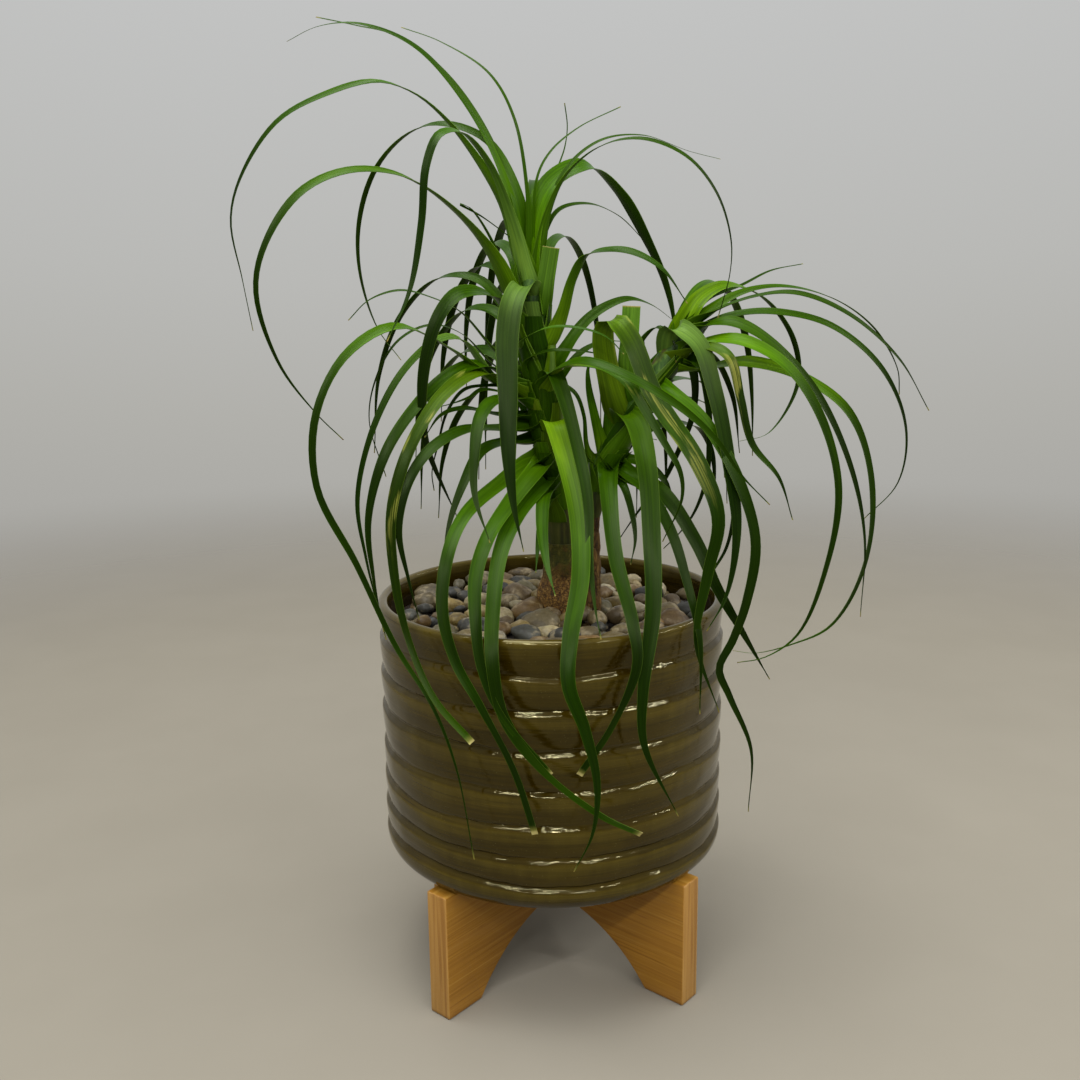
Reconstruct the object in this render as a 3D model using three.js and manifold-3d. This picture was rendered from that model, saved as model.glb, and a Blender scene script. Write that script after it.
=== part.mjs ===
// A potted ponytail palm: two leafy shoots in a ribbed, glazed pot full of river pebbles,
// on a stand of two crossed boards. Millimetres, +Z up.
import * as THREE from 'three';
import { mergeVertices } from 'three/addons/utils/BufferGeometryUtils.js';
import Module from 'manifold-3d';

const wasm = await Module();
wasm.setup();

// ---- driving dimensions ----
const potDiameter = 203;
const potHeight = 153;
const potWall = 6;
const potFloor = 8;
const standHeight = 75;
const boardThickness = 15;
const leftBoardTurn = 230;
const seatGap = 0.3;

// ---- pot ----
const potRadius = potDiameter / 2;
const potBottom = standHeight + seatGap;
const potTop = potBottom + potHeight;
const ribHeights = [15, 31, 49, 69, 90, 112, 133];
const ribDepth = 2.2;
const ribFlank = 3.5;
const footInset = 12;
const footRise = 12;
const roundSides = 48;

// ---- stand ----
const boardLength = 203;
const archSpan = 150;
const archRise = 38;

// ---- filling ----
const fillRadius = potRadius - potWall - seatGap;
const soilTop = potTop - 17;
const bedThickness = 3.5;
const pebbleCount = 72;
const pebbleSize = 8.4;
const pebbleHeap = 3;
const goldenPart = (Math.sqrt(5) - 1) / 2;
const goldenAngle = 2 * Math.PI * (1 - goldenPart);

// ---- stems: [x, y, z] of each shoot's middle line, from its foot in the soil to its crown ----
const stemFoot = potTop - 50;
const stemSides = 14;
const tallStem = { x: 7, y: 0, foot: 16, neck: 10, top: 258 };
const thinStem = { x: 25, y: -12, foot: 4.5, neck: 3.6, top: 275 };
const tallLine = [[7, 0, 258], [3, 0, 290], [-2, 0, 335], [-7, 0, 375], [-10, 0, 412]];
const leaningLine = [[25, -12, 275], [32, -9, 304], [45, -6, 328], [63, -2, 356], [80, 1, 382]];

// ---- leaves ----
const leafKeel = 1.1;
const leafLift = 0.3;
const lightTurn = 0.6;
const leafTaper = 3;
const tipSlimness = 1.3;
const narrowedBy = 0.36;
const tipWidth = 1.2;
const stepLength = 15;

const radians = THREE.MathUtils.degToRad;

// One leaf: the height at which it leaves its stem, the way it turns (0 is +X, 90 is +Y), its
// widths [at its root, along its middle] with the end's width after them where it was trimmed,
// and its route as [reach, rise] or [reach, rise, sway] from its root.
function leaf(at, turn, widths, route) {
  return { at, turn, widths, route };
}

const tallLeaves = [
  // the crown: long leaves that arch over to the left
  leaf(396, 176, [13, 4], [[6, 25], [15, 68], [36, 108], [62, 136], [92, 148], [115, 147], [132, 140]]),
  leaf(392, 166, [9, 3.2], [[7, 36], [19, 83], [44, 123], [75, 148], [99, 155], [123, 161]]),
  leaf(396, 185, [13, 4.4], [[5, 20], [16, 55], [42, 93], [62, 110], [82, 116], [108, 110], [135, 96],
    [156, 68], [163, 45], [159, 14], [155, -14]]),
  leaf(378, 205, [13, 5.6], [[10, 15], [24, 42], [46, 66], [75, 83], [102, 85], [128, 74], [147, 50],
    [154, 25], [145, -11], [127, -38], [113, -53]]),
  leaf(392, 160, [12, 4.8], [[3, 25], [8, 60], [22, 88], [40, 99], [60, 102], [79, 95], [97, 78],
    [108, 51], [109, 22], [99, -10], [84, -29]]),
  leaf(388, 222, [12, 4.6], [[6, 25], [15, 52], [30, 80], [48, 94], [62, 92], [71, 76], [75, 48], [84, 14],
    [99, -11]]),
  leaf(398, 152, [6, 2.2], [[1, 30], [2, 58], [9, 95], [24, 120], [55, 140], [82, 151]]),
  leaf(384, 200, [5, 2.4], [[13, 13], [23, 43], [36, 62], [42, 64], [30, 58], [12, 46]]),
  leaf(370, 211, [14, 9], [[10, 12], [24, 27], [38, 32], [50, 30], [61, 18], [69, -4], [72, -26],
    [70, -50], [52, -94]]),
  // the crown: leaves that arch over to the right
  leaf(388, 22, [14, 9], [[-2, 25, 2], [2, 55, 1], [13, 74, 1], [33, 82], [53, 68], [71, 42], [84, 16],
    [88, -7, -3], [86, -26, -5]]),
  leaf(392, 352, [9, 2.8], [[3, 25], [10, 54], [20, 72], [39, 86], [61, 89], [85, 79], [101, 60],
    [109, 36], [109, 18], [103, -6]]),
  leaf(392, 14, [5, 2.2], [[6, 30], [16, 70], [38, 90], [64, 94], [92, 86], [111, 82]]),
  leaf(396, 44, [5, 1.8], [[8, 30], [20, 70], [27, 85], [29, 96], [27, 108]]),
  leaf(396, 28, [5, 1.8], [[1, 30], [4, 66], [12, 80], [30, 94], [58, 107]]),
  leaf(388, 30, [7, 3.2], [[3, 22], [8, 45], [17, 58], [36, 62], [57, 56], [78, 40]]),
  leaf(366, 335, [12, 6.8], [[9, 8], [16, 24], [22, 42], [30, 54], [44, 57], [58, 55], [74, 46],
    [88, 28]]),
  leaf(382, 270, [12, 10, 9.5], [[4, 9, 4], [7, 26, 7], [9, 43, 10]]),
  // the crown: leaves that arch away to the far side
  leaf(394, 88, [10, 6.5], [[8, 34], [24, 62], [48, 72], [76, 62], [100, 34], [116, -4], [122, -44]]),
  leaf(390, 106, [10, 6], [[10, 26], [30, 48], [56, 54], [84, 40], [108, 8], [120, -36], [124, -80]]),
  leaf(386, 68, [9, 5.5], [[8, 20], [26, 42], [50, 48], [78, 36], [100, 8], [112, -30], [114, -70]]),
  leaf(372, 120, [12, 7.5], [[10, 22], [28, 52], [52, 58], [76, 40], [90, 8], [92, -30]]),
  // the left side of the shoot
  leaf(352, 186, [6, 3], [[12, 6], [25, 16], [45, 39], [61, 47], [78, 51], [95, 46], [107, 35]]),
  leaf(346, 213, [10, 5], [[14, 2, -4], [27, 6, -9], [53, 25, -10], [84, 38, -13], [112, 24, -16],
    [131, -7, -15], [134, -44, -11], [121, -84, 6], [109, -126, 24], [99, -156, 46], [94, -186, 60],
    [90, -234, 69]]),
  leaf(350, 190, [4, 1.8], [[12, 4], [27, 11], [45, 29], [62, 34], [80, 26], [93, 6], [98, -18],
    [90, -50]]),
  leaf(346, 205, [8, 4.6], [[12, 2, -3], [27, 8, -6], [46, 30, -7], [58, 31, -6], [79, 16, -5],
    [98, -14, -5], [110, -54, -3], [109, -85, 5], [104, -128, 20]]),
  leaf(340, 220, [11, 7.5], [[14, 10, -6], [34, 22, -13], [53, 18, -15], [73, 4, -17], [96, -23, -18],
    [108, -57, -18], [110, -88, -12], [110, -116, -4]]),
  leaf(336, 231, [11, 7.5, 3.4], [[14, 10, -8], [33, 22, -17], [61, 13, -19], [88, -14, -20],
    [102, -46, -21], [107, -77, -16], [109, -109, -6], [111, -139, 14], [106, -160, 36]]),
  leaf(330, 235, [12, 7.5], [[14, -4, -6], [31, -3, -12], [56, -2, -17], [79, -11, -21], [93, -27, -24],
    [101, -50, -24], [102, -74, -18], [101, -97, -12]]),
  leaf(328, 222, [8, 5.5], [[12, 4, -5], [28, 6, -10], [50, 11, -13], [65, 8, -14], [76, -3, -14]]),
  leaf(336, 196, [6, 3], [[14, 6], [36, 12], [44, 8], [53, 5], [62, 3]]),
  leaf(340, 211, [5, 2.4], [[16, 8, -6], [34, 10, -11], [46, 8, -11], [57, -4, -10], [63, -20, -9],
    [68, -36, -8], [68, -46, -6]]),
  leaf(330, 243, [10, 8], [[16, 12, -8], [35, 13, -14], [50, 6, -14], [64, -11, -10], [75, -33, -4],
    [81, -56, 8]]),
  leaf(320, 228, [9, 7], [[14, -2, -5], [29, -1, -8], [50, -4, -5], [68, -20, -1], [80, -38, 1],
    [90, -58, 5]]),
  // the front of the shoot: leaves that hang over the pot
  leaf(390, 263, [11, 10], [[5, 10], [14, 15, -3], [24, 8, -7], [36, -11, -9], [51, -46, -7],
    [59, -71, -6], [65, -97, -3], [71, -122, 3]]),
  leaf(318, 280, [13, 10.5], [[12, 8], [25, 13, -1], [37, -2, 2], [64, -31, 4], [89, -60], [107, -86, -9],
    [117, -107, -12], [122, -129, -5], [124, -158, 1], [121, -186, -1], [117, -208, -10]]),
  leaf(342, 285, [10, 7.5], [[10, 12], [19, 16, 1], [29, 3, 4], [47, -22, 6], [66, -48, 6], [83, -77, 2],
    [99, -100, 0], [108, -112, 0]]),
  leaf(312, 240, [11, 7.5, 3.4], [[9, -3], [22, -5, -3], [41, -13, -7], [75, -26, -9], [96, -43, -6],
    [108, -69, -2], [112, -94, 8], [112, -116, 23], [106, -149, 38], [101, -184, 47]]),
  leaf(306, 250, [12, 8.5, 3.4], [[8, 0], [20, 0, 1], [46, -14, -5], [74, -31, -9], [91, -48, -9],
    [104, -68, -4], [111, -91, 2], [113, -112, 12], [108, -144, 37]]),
  leaf(296, 262, [12, 8.5, 3.4], [[8, 2], [18, 0, -3], [49, -14, -14], [71, -30, -19], [94, -54, -19],
    [109, -76, -17], [113, -104, -11], [114, -131, 8], [111, -156, 38], [105, -168, 58]]),
  leaf(292, 278, [11, 8], [[10, 0, -3], [29, -2, -10], [50, -15, -14], [72, -29, -15], [90, -43, -13]]),
  leaf(280, 255, [8, 6], [[8, 6], [22, 4, -1], [45, -14, 1], [58, -27, 3]]),
  // the right side of the shoot
  leaf(366, 325, [5, 2.6], [[-3, 6, -10], [4, 10, -18], [19, 16, -17], [36, 16, -13], [51, 11, -8],
    [60, 2, -5]]),
  leaf(348, 345, [6, 3], [[-6, 8, -8], [-6, 15, -12], [6, 21, -12], [25, 21, -10], [40, 18, -6]]),
  leaf(340, 335, [9, 5.5], [[4, 10, -7], [13, 18, -16], [37, 25, -29], [63, 18, -33], [89, 2, -25],
    [107, -16, -16], [118, -35, -7], [131, -52, 4]]),
  leaf(334, 318, [10, 6.5], [[10, 16, -6], [24, 27, -11], [49, 28, -10], [67, 20, -10], [78, 6, -9],
    [88, -10, -6], [96, -26, -2], [97, -40, -2], [88, -63, -6]]),
  leaf(345, 15, [11, 7], [[12, 22], [25, 39], [38, 48], [52, 52], [66, 48], [78, 40]]),
  leaf(345, 25, [8, 5], [[13, 21, 3], [24, 33, 4], [34, 40, 4], [40, 35, 3]]),
  leaf(338, 10, [8, 5], [[10, 15, 2], [22, 29, 4], [35, 35, 4], [47, 35, 4]]),
];

const leaningLeaves = [
  // the crown: leaves that arch over to the right
  leaf(372, 22, [12, 4.5], [[4, 10], [14, 25], [31, 32], [56, 24], [77, 0], [81, -26], [62, -54],
    [42, -58]]),
  leaf(374, 348, [8, 3.4], [[5, 6], [14, 13], [39, 23], [63, 25], [92, 13], [119, -11], [136, -39]]),
  leaf(376, 8, [7, 3], [[6, 6], [29, 22], [54, 27], [87, 20], [113, 3], [129, -21], [131, -36]]),
  leaf(376, 30, [6, 2.2], [[5, 8], [15, 19], [42, 28], [63, 36], [88, 40]]),
  leaf(370, 356, [9, 4], [[5, 5], [14, 11], [30, 17], [54, 19], [86, 11], [115, -13], [130, -47],
    [127, -78], [109, -99]]),
  leaf(362, 328, [10, 5.6], [[8, 5, 1], [20, 11, 3], [44, 12, 3], [68, -1, 7], [87, -28, 10],
    [98, -67, 12], [94, -112, 8], [82, -149, 1], [67, -162, -8], [55, -164, -19]]),
  leaf(368, 336, [9, 5], [[7, 7], [17, 13], [33, 16], [55, 5, 1], [80, -22, 4], [99, -60, 6],
    [109, -101, 6], [109, -146, 5]]),
  leaf(356, 346, [10, 5.4], [[10, 2], [23, 2], [48, 6], [78, -2, 2], [104, -21, 6], [118, -57, 7],
    [117, -108, 6], [100, -144, 3], [79, -155, -2], [58, -160, -8], [46, -158, -12]]),
  leaf(360, 315, [9, 6], [[12, 6, 1], [27, 11, 4], [42, 5, 4], [50, -17, 4], [57, -41, 6], [70, -59, 13],
    [77, -82, 17]]),
  leaf(366, 312, [12, 9.5], [[3, 8, -4], [9, 15, -7], [22, 7, -3], [35, -18, -4], [47, -56, -5],
    [56, -94, -8], [58, -127, -18], [55, -145, -30]]),
  leaf(374, 58, [10, 6], [[6, 10], [22, 26], [46, 32], [74, 22], [98, -4], [110, -40], [114, -80]]),
  // the middle of the shoot
  leaf(326, 306, [14, 11.5], [[0, 14, -7], [2, 37, -16], [5, 54, -20], [10, 60, -18], [21, 50, -15],
    [36, 20, -11], [60, -14, -1], [73, -43, 2], [73, -72, -5], [74, -106, -13], [76, -150, 3]]),
  leaf(346, 330, [9, 7], [[6, 4, -4], [14, 2, -9], [37, -14, -10], [57, -42, -11], [70, -78, -12],
    [68, -111, -18], [63, -132, -24], [57, -148, -28], [61, -165, -22], [70, -200, -9], [68, -240, -5]]),
  leaf(325, 290, [13, 10.5], [[6, 8, -4], [12, 10, -6], [22, 7, -4], [44, -15, -7], [66, -51, -14],
    [81, -84, -20], [93, -124, -31], [97, -149, -32], [101, -190, -14]]),
  leaf(330, 80, [11, 6.5], [[12, 26], [32, 44], [56, 40], [78, 14], [88, -20], [92, -60]]),
  leaf(338, 40, [11, 6.5], [[14, 22], [36, 34], [60, 26], [80, 0], [88, -36]]),
  leaf(336, 270, [13, 10.5, 10], [[7, 25, -6], [9, 39, -5], [10, 57, -4]]),
  leaf(362, 300, [7, 4], [[1, 6, 13], [-1, -7, 20], [-3, -20, 23], [-5, -35, 22], [-7, -52, 15],
    [-9, -72, 4], [-11, -85, -9], [-16, -108, -25]]),
  leaf(358, 310, [7, 4], [[17, 4, 10], [24, -17, 12], [26, -42, 12], [25, -62, 11], [20, -80, 8],
    [12, -93, 5], [3, -104]]),
  leaf(356, 325, [7, 4], [[22, 4, 8], [37, -20, 4], [46, -47], [49, -74, -2], [47, -95, -6],
    [43, -109, -16], [49, -120, -39]]),
  leaf(336, 330, [7, 5], [[-3, 21, -1], [2, 38, 2], [10, 45, 6], [18, 39, 7], [22, 26, 4]]),
  // the low crown
  leaf(306, 275, [11, 8.5, 3.4], [[8, -1], [17, -3, -2], [38, -18, -4], [63, -43, -4], [86, -71, 1],
    [94, -90, 2], [97, -121, -11], [97, -147, -28]]),
  leaf(308, 300, [10, 6.5], [[5, -3], [12, -4, -1], [28, -13, 5], [50, -34, 7], [66, -61, 7], [80, -88, 5],
    [85, -127, 2]]),
  leaf(306, 330, [11, 8.5], [[6, -2, -4], [15, -5, -7], [37, -14, -6], [57, -39, -6], [70, -63, -7],
    [81, -90, 5], [93, -121, 20]]),
  leaf(304, 150, [9, 6], [[2, 12, 2], [4, 27, 5], [6, 46, 9], [4, 57, 12], [-3, 60, 14]]),
  leaf(306, 70, [8, 6], [[2, 14], [3, 29], [5, 48], [3, 56, -4]]),
  leaf(302, 160, [5, 3, 2.4], [[10, 10], [13, 30, -2], [18, 42, -3], [26, 48, -3]]),
  leaf(303, 5, [5, 3], [[5, 6], [11, 12], [19, 17], [30, 15]]),
  leaf(298, 320, [7, 4.5], [[8, 2, -3], [19, -2, -7], [29, -16, -12], [35, -30, -17], [37, -42, -24]]),
  leaf(303, 345, [8, 6], [[5, 4], [12, 5, -2], [24, 3, -3], [35, -6, -4], [41, -20, -5]]),
  leaf(300, 200, [7, 5], [[4, 1, -2], [8, 8, -7], [12, 17, -12], [14, 20, -14]]),
];

// Leaves on the far side follow a rule: they climb the stem by the golden angle within a fan
// of turns, each a copy of one arching route at its own size.
const arch = [[14, 20], [34, 44], [58, 46], [82, 24], [97, -12], [102, -56]];
const tallFan = { count: 11, from: 300, to: 384, middle: 122, spread: 72, lift: 0.9, width: 10, seed: 11 };
const fanSlimness = 0.65;
const leaningFan = { count: 5, from: 312, to: 336, middle: 60, spread: 44, lift: 0.3, width: 9, seed: 5 };

// A small repeatable source of numbers from 0 to 1.
function seeded(seed) {
  const factor = 16807;
  const range = 2 ** 31 - 1;
  let state = seed;
  return () => {
    state = (state * factor) % range;
    return state / range;
  };
}

function fanLeaves({ count, from, to, middle, spread, lift, width, seed }) {
  const random = seeded(seed);
  return Array.from({ length: count }, (_, i) => {
    const part = (i * goldenPart) % 1;
    const at = from + (to - from) * (i / (count - 1));
    const turn = middle + spread * (part - 0.5);
    const size = 0.9 + 0.45 * random();
    const droop = size ** 2;
    const sway = 40 * (random() - 0.5);
    const route = arch.map(([reach, rise]) => [
      reach * size,
      rise < 0 ? rise * droop : rise * size * lift,
      sway * (reach / 100) ** 2,
    ]);
    const root = width * (0.8 + 0.4 * random());
    return leaf(at, turn, [root, root * fanSlimness], route);
  });
}

// ---- joining and cutting ----
function toSolid(geometry) {
  const bare = geometry.clone();
  bare.deleteAttribute('normal');
  bare.deleteAttribute('uv');
  const merged = mergeVertices(bare, 1e-4);
  return new wasm.Manifold(new wasm.Mesh({
    numProp: 3,
    vertProperties: Float32Array.from(merged.attributes.position.array),
    triVerts: Uint32Array.from(merged.index.array),
  }));
}

// The largest closed skin of a joined solid: sealed hollows and loose scraps are left behind.
function outerSkin(solid) {
  const pieces = solid.decompose();
  return pieces.reduce((best, piece) => (piece.volume() > best.volume() ? piece : best));
}

function fromSolid(solid) {
  const mesh = outerSkin(solid).getMesh();
  const geometry = new THREE.BufferGeometry();
  geometry.setAttribute('position', new THREE.BufferAttribute(mesh.vertProperties, 3));
  geometry.setIndex(new THREE.BufferAttribute(mesh.triVerts, 1));
  geometry.computeVertexNormals();
  return geometry;
}

function joinAll(solids) {
  return solids.reduce((whole, solid) => whole.add(solid));
}

// A closed skin over rings of equally many points, with a flat end at each side.
function ringSkin(rings) {
  const sides = rings[0].length;
  const positions = rings.flat().flatMap((point) => [point.x, point.y, point.z]);
  const triangles = [];
  for (let ring = 0; ring + 1 < rings.length; ring += 1) {
    for (let side = 0; side < sides; side += 1) {
      const a = ring * sides + side;
      const b = ring * sides + (side + 1) % sides;
      triangles.push(a, b, b + sides, a, b + sides, a + sides);
    }
  }
  const last = (rings.length - 1) * sides;
  for (let side = 1; side + 1 < sides; side += 1) {
    triangles.push(0, side + 1, side, last, last + side, last + side + 1);
  }
  const geometry = new THREE.BufferGeometry();
  geometry.setAttribute('position', new THREE.Float32BufferAttribute(positions, 3));
  geometry.setIndex(triangles);
  return geometry;
}

function turned(profile, segments) {
  const points = profile.map(([radius, height]) => new THREE.Vector2(radius, height));
  return new THREE.LatheGeometry(points, segments).rotateX(Math.PI / 2);
}

// ---- pot ----
// Each rib is a shingle: a short flank out to its crest, then a long taper in to the next rib.
function potProfile() {
  const footArc = [0, 30, 60, 90].map((angle) => [
    potRadius - ribDepth - footInset * (1 - Math.sin(radians(angle))),
    footRise * (1 - Math.cos(radians(angle))),
  ]);
  const ribs = ribHeights.flatMap((height) => [
    [potRadius, height - ribFlank],
    [potRadius - ribDepth, height + ribFlank],
  ]);
  const rimMiddle = potRadius - potWall / 2;
  const rimRound = potWall / 2;
  const rimArc = [0, 45, 90, 135, 180].map((angle) => [
    rimMiddle + rimRound * Math.cos(radians(angle)),
    potHeight - rimRound + rimRound * Math.sin(radians(angle)),
  ]);
  const innerRadius = potRadius - potWall;
  return [
    [0, 0], ...footArc, ...ribs, ...rimArc,
    [innerRadius, potFloor], [0, potFloor],
  ];
}

function potGeometry() {
  return turned(potProfile(), roundSides).translate(0, 0, potBottom);
}

// ---- stand ----
// A board on edge: flat on top, with a round arch cut between its two feet.
function boardShape() {
  const half = boardLength / 2;
  const halfSpan = archSpan / 2;
  const archRadius = (halfSpan * halfSpan + archRise * archRise) / (2 * archRise);
  const archAngle = Math.asin(halfSpan / archRadius);
  const shape = new THREE.Shape();
  shape.moveTo(-half, 0);
  shape.lineTo(-halfSpan, 0);
  shape.absarc(0, archRise - archRadius, archRadius, Math.PI / 2 + archAngle, Math.PI / 2 - archAngle, true);
  shape.lineTo(half, 0);
  shape.lineTo(half, standHeight);
  shape.lineTo(-half, standHeight);
  return shape;
}

function boardGeometry() {
  const options = { depth: boardThickness, bevelEnabled: false, curveSegments: 10 };
  return new THREE.ExtrudeGeometry(boardShape(), options)
    .translate(0, 0, -boardThickness / 2)
    .rotateX(Math.PI / 2);
}

// The two boards cross in a halving joint: each is notched for half of the web's height.
function notchedBoard(turn, fromTop) {
  const jointHeight = (archRise + standHeight) / 2;
  const width = boardThickness + 2 * seatGap;
  const low = fromTop ? jointHeight : 0;
  const high = fromTop ? standHeight * 2 : jointHeight + seatGap;
  const notch = new THREE.BoxGeometry(width, boardThickness * 2, high - low)
    .translate(0, 0, (low + high) / 2);
  const board = toSolid(boardGeometry()).subtract(toSolid(notch));
  return fromSolid(board).rotateZ(radians(turn));
}

// ---- soil and pebbles ----
function stemHole({ x, y, foot }, bottom, top) {
  const radius = foot + seatGap * 2;
  const hole = new THREE.CylinderGeometry(radius, radius, top - bottom, stemSides)
    .rotateX(Math.PI / 2)
    .translate(x, y, (bottom + top) / 2);
  return toSolid(hole);
}

function soilGeometry() {
  const low = potBottom + potFloor + seatGap;
  const profile = [[0, low], [fillRadius, low], [fillRadius, soilTop], [0, soilTop]];
  const holes = [tallStem, thinStem].map((stem) => stemHole(stem, stemFoot - seatGap, potTop));
  return fromSolid(toSolid(turned(profile, roundSides)).subtract(joinAll(holes)));
}

// Pebbles lie in a sunflower spiral, heaped a little towards the middle.
function pebbleGeometry() {
  const random = seeded(7);
  const bedBottom = soilTop + seatGap;
  const bedTop = bedBottom + bedThickness;
  const bedRadius = fillRadius - 1;
  const profile = [[0, bedBottom], [bedRadius, bedBottom], [bedRadius, bedTop], [0, bedTop]];
  const stones = [toSolid(turned(profile, roundSides))];
  for (let i = 0; i < pebbleCount; i += 1) {
    const length = pebbleSize * (0.75 + 0.45 * random());
    const reach = (bedRadius - length - 0.5) * Math.sqrt((i + 0.5) / pebbleCount);
    const around = i * goldenAngle;
    const heap = pebbleHeap * (1 - reach / bedRadius);
    const stone = new THREE.IcosahedronGeometry(1)
      .scale(length, length * (0.65 + 0.2 * random()), length * 0.55)
      .rotateZ(Math.PI * random())
      .translate(reach * Math.cos(around), reach * Math.sin(around), bedTop + heap + 1.5 * random());
    stones.push(toSolid(stone));
  }
  const holes = [tallStem, thinStem].map((stem) => stemHole(stem, soilTop, potTop + 30));
  return fromSolid(joinAll(stones).subtract(joinAll(holes)));
}

// ---- stems ----
// The tall stem swells just over the soil, as the species does; the other is a thin woody cane.
function trunkGeometry({ x, y, foot, neck, top }) {
  const widest = soilTop + 2;
  const shoulder = widest + 12;
  const waist = shoulder + 14;
  const profile = [
    [0, stemFoot], [foot * 0.8, stemFoot], [foot, widest], [foot * 0.97, shoulder],
    [neck * 1.15, waist], [neck, top - 5], [neck, top], [0, top],
  ];
  return turned(profile, stemSides).translate(x, y, 0);
}

function stemCurve(line) {
  return new THREE.CatmullRomCurve3(line.map(([x, y, z]) => new THREE.Vector3(x, y, z)));
}

// The leafy core of a shoot, which its leaves clasp.
function coreGeometry(line, radii) {
  const sides = 8;
  const steps = 8;
  const curve = stemCurve(line);
  const rings = [];
  for (let i = 0; i <= steps; i += 1) {
    const middle = curve.getPoint(i / steps);
    const radius = THREE.MathUtils.lerp(radii[0], radii[1], Math.min(1, (3 * i) / steps))
      * (i === steps ? 0.5 : 1);
    rings.push(Array.from({ length: sides }, (_, side) => {
      const angle = (2 * Math.PI * side) / sides;
      return new THREE.Vector3(Math.cos(angle), Math.sin(angle), 0).multiplyScalar(radius).add(middle);
    }));
  }
  return ringSkin(rings);
}

// The point of a shoot's middle line at a height.
function rootAt(line, height) {
  const above = line.findIndex(([, , z]) => z >= height);
  const upper = line[above];
  const lower = line[above - 1];
  const part = (height - lower[2]) / (upper[2] - lower[2]);
  return new THREE.Vector3(...lower).lerp(new THREE.Vector3(...upper), part);
}

// A leaf's width along its length: broad where it clasps the stem, then a strap, then a long tip.
function leafWidth({ widths: [root, middle, end = tipWidth] }, part) {
  const strap = THREE.MathUtils.lerp(root, middle, THREE.MathUtils.smoothstep(part, 0, narrowedBy));
  return Math.max(strap * (1 - part ** leafTaper) ** tipSlimness, end);
}

// The way a leaf's width lies. Each leaf twists part of the way to show its face to the light,
// which falls on the plant from the front.
function acrossLeaf(turn) {
  const fromFront = ((((turn + 90) % 180) + 270) % 180) - 90;
  const angle = radians(turn + 90 - lightTurn * fromFront);
  return new THREE.Vector3(Math.cos(angle), Math.sin(angle), 0);
}

// A leaf is a strap with a keel under its middle, swept along its route.
function bladeGeometry(line, blade) {
  const root = rootAt(line, blade.at);
  const angle = radians(blade.turn);
  const outward = new THREE.Vector3(Math.cos(angle), Math.sin(angle), 0);
  const sideways = new THREE.Vector3(-Math.sin(angle), Math.cos(angle), 0);
  const stops = blade.route.map(([reach, rise, sway = 0]) => root.clone()
    .addScaledVector(outward, reach)
    .addScaledVector(sideways, sway)
    .add(new THREE.Vector3(0, 0, rise)));
  const flat = acrossLeaf(blade.turn);
  const curve = new THREE.CatmullRomCurve3([root, ...stops]);
  const steps = THREE.MathUtils.clamp(Math.round(curve.getLength() / stepLength), 5, 18);
  const rings = curve.getSpacedPoints(steps).map((middle, i) => {
    const along = curve.getTangentAt(i / steps);
    const across = flat.clone().addScaledVector(along, -flat.dot(along)).normalize();
    const upper = along.clone().cross(across);
    const half = leafWidth(blade, i / steps) / 2;
    const edge = middle.clone().addScaledVector(upper, leafLift);
    return [
      edge.clone().addScaledVector(across, half),
      edge.clone().addScaledVector(across, -half),
      middle.clone().addScaledVector(upper, -leafKeel),
    ];
  });
  return ringSkin(rings);
}

function shootGeometry(line, radii, leaves) {
  const core = toSolid(coreGeometry(line, radii));
  return fromSolid(joinAll([core, ...leaves.map((blade) => toSolid(bladeGeometry(line, blade)))]));
}

// ---- the whole plant ----
function part(name, geometry, color, roughness) {
  const mesh = new THREE.Mesh(geometry, new THREE.MeshStandardMaterial({ color, roughness, metalness: 0 }));
  mesh.name = name;
  return mesh;
}

const plant = new THREE.Group();
plant.add(
  part('pot', potGeometry(), '#4a3f1c', 0.15),
  part('stand_board_left', notchedBoard(leftBoardTurn, false), '#c48a4a', 0.5),
  part('stand_board_right', notchedBoard(leftBoardTurn + 90, true), '#c48a4a', 0.5),
  part('soil', soilGeometry(), '#2a211b', 0.95),
  part('pebbles', pebbleGeometry(), '#a38c6b', 0.6),
  part('trunk_tall', trunkGeometry(tallStem), '#7a4e33', 0.85),
  part('trunk_thin', trunkGeometry(thinStem), '#5e4030', 0.85),
  part('shoot_tall', shootGeometry(tallLine, [9, 8], [...tallLeaves, ...fanLeaves(tallFan)]), '#3b6b1e', 0.4),
  part('shoot_leaning', shootGeometry(leaningLine, [4, 8], [...leaningLeaves, ...fanLeaves(leaningFan)]),
    '#3b6b1e', 0.4),
);

// The origin lies on the floor, under the middle of the whole outline.
const outline = new THREE.Box3().setFromObject(plant);
const middle = outline.getCenter(new THREE.Vector3());
plant.position.set(-middle.x, -middle.y, 0);

export default plant;
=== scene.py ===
import math
import random

import bpy
import numpy as np
from mathutils import Matrix, Vector, noise


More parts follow.
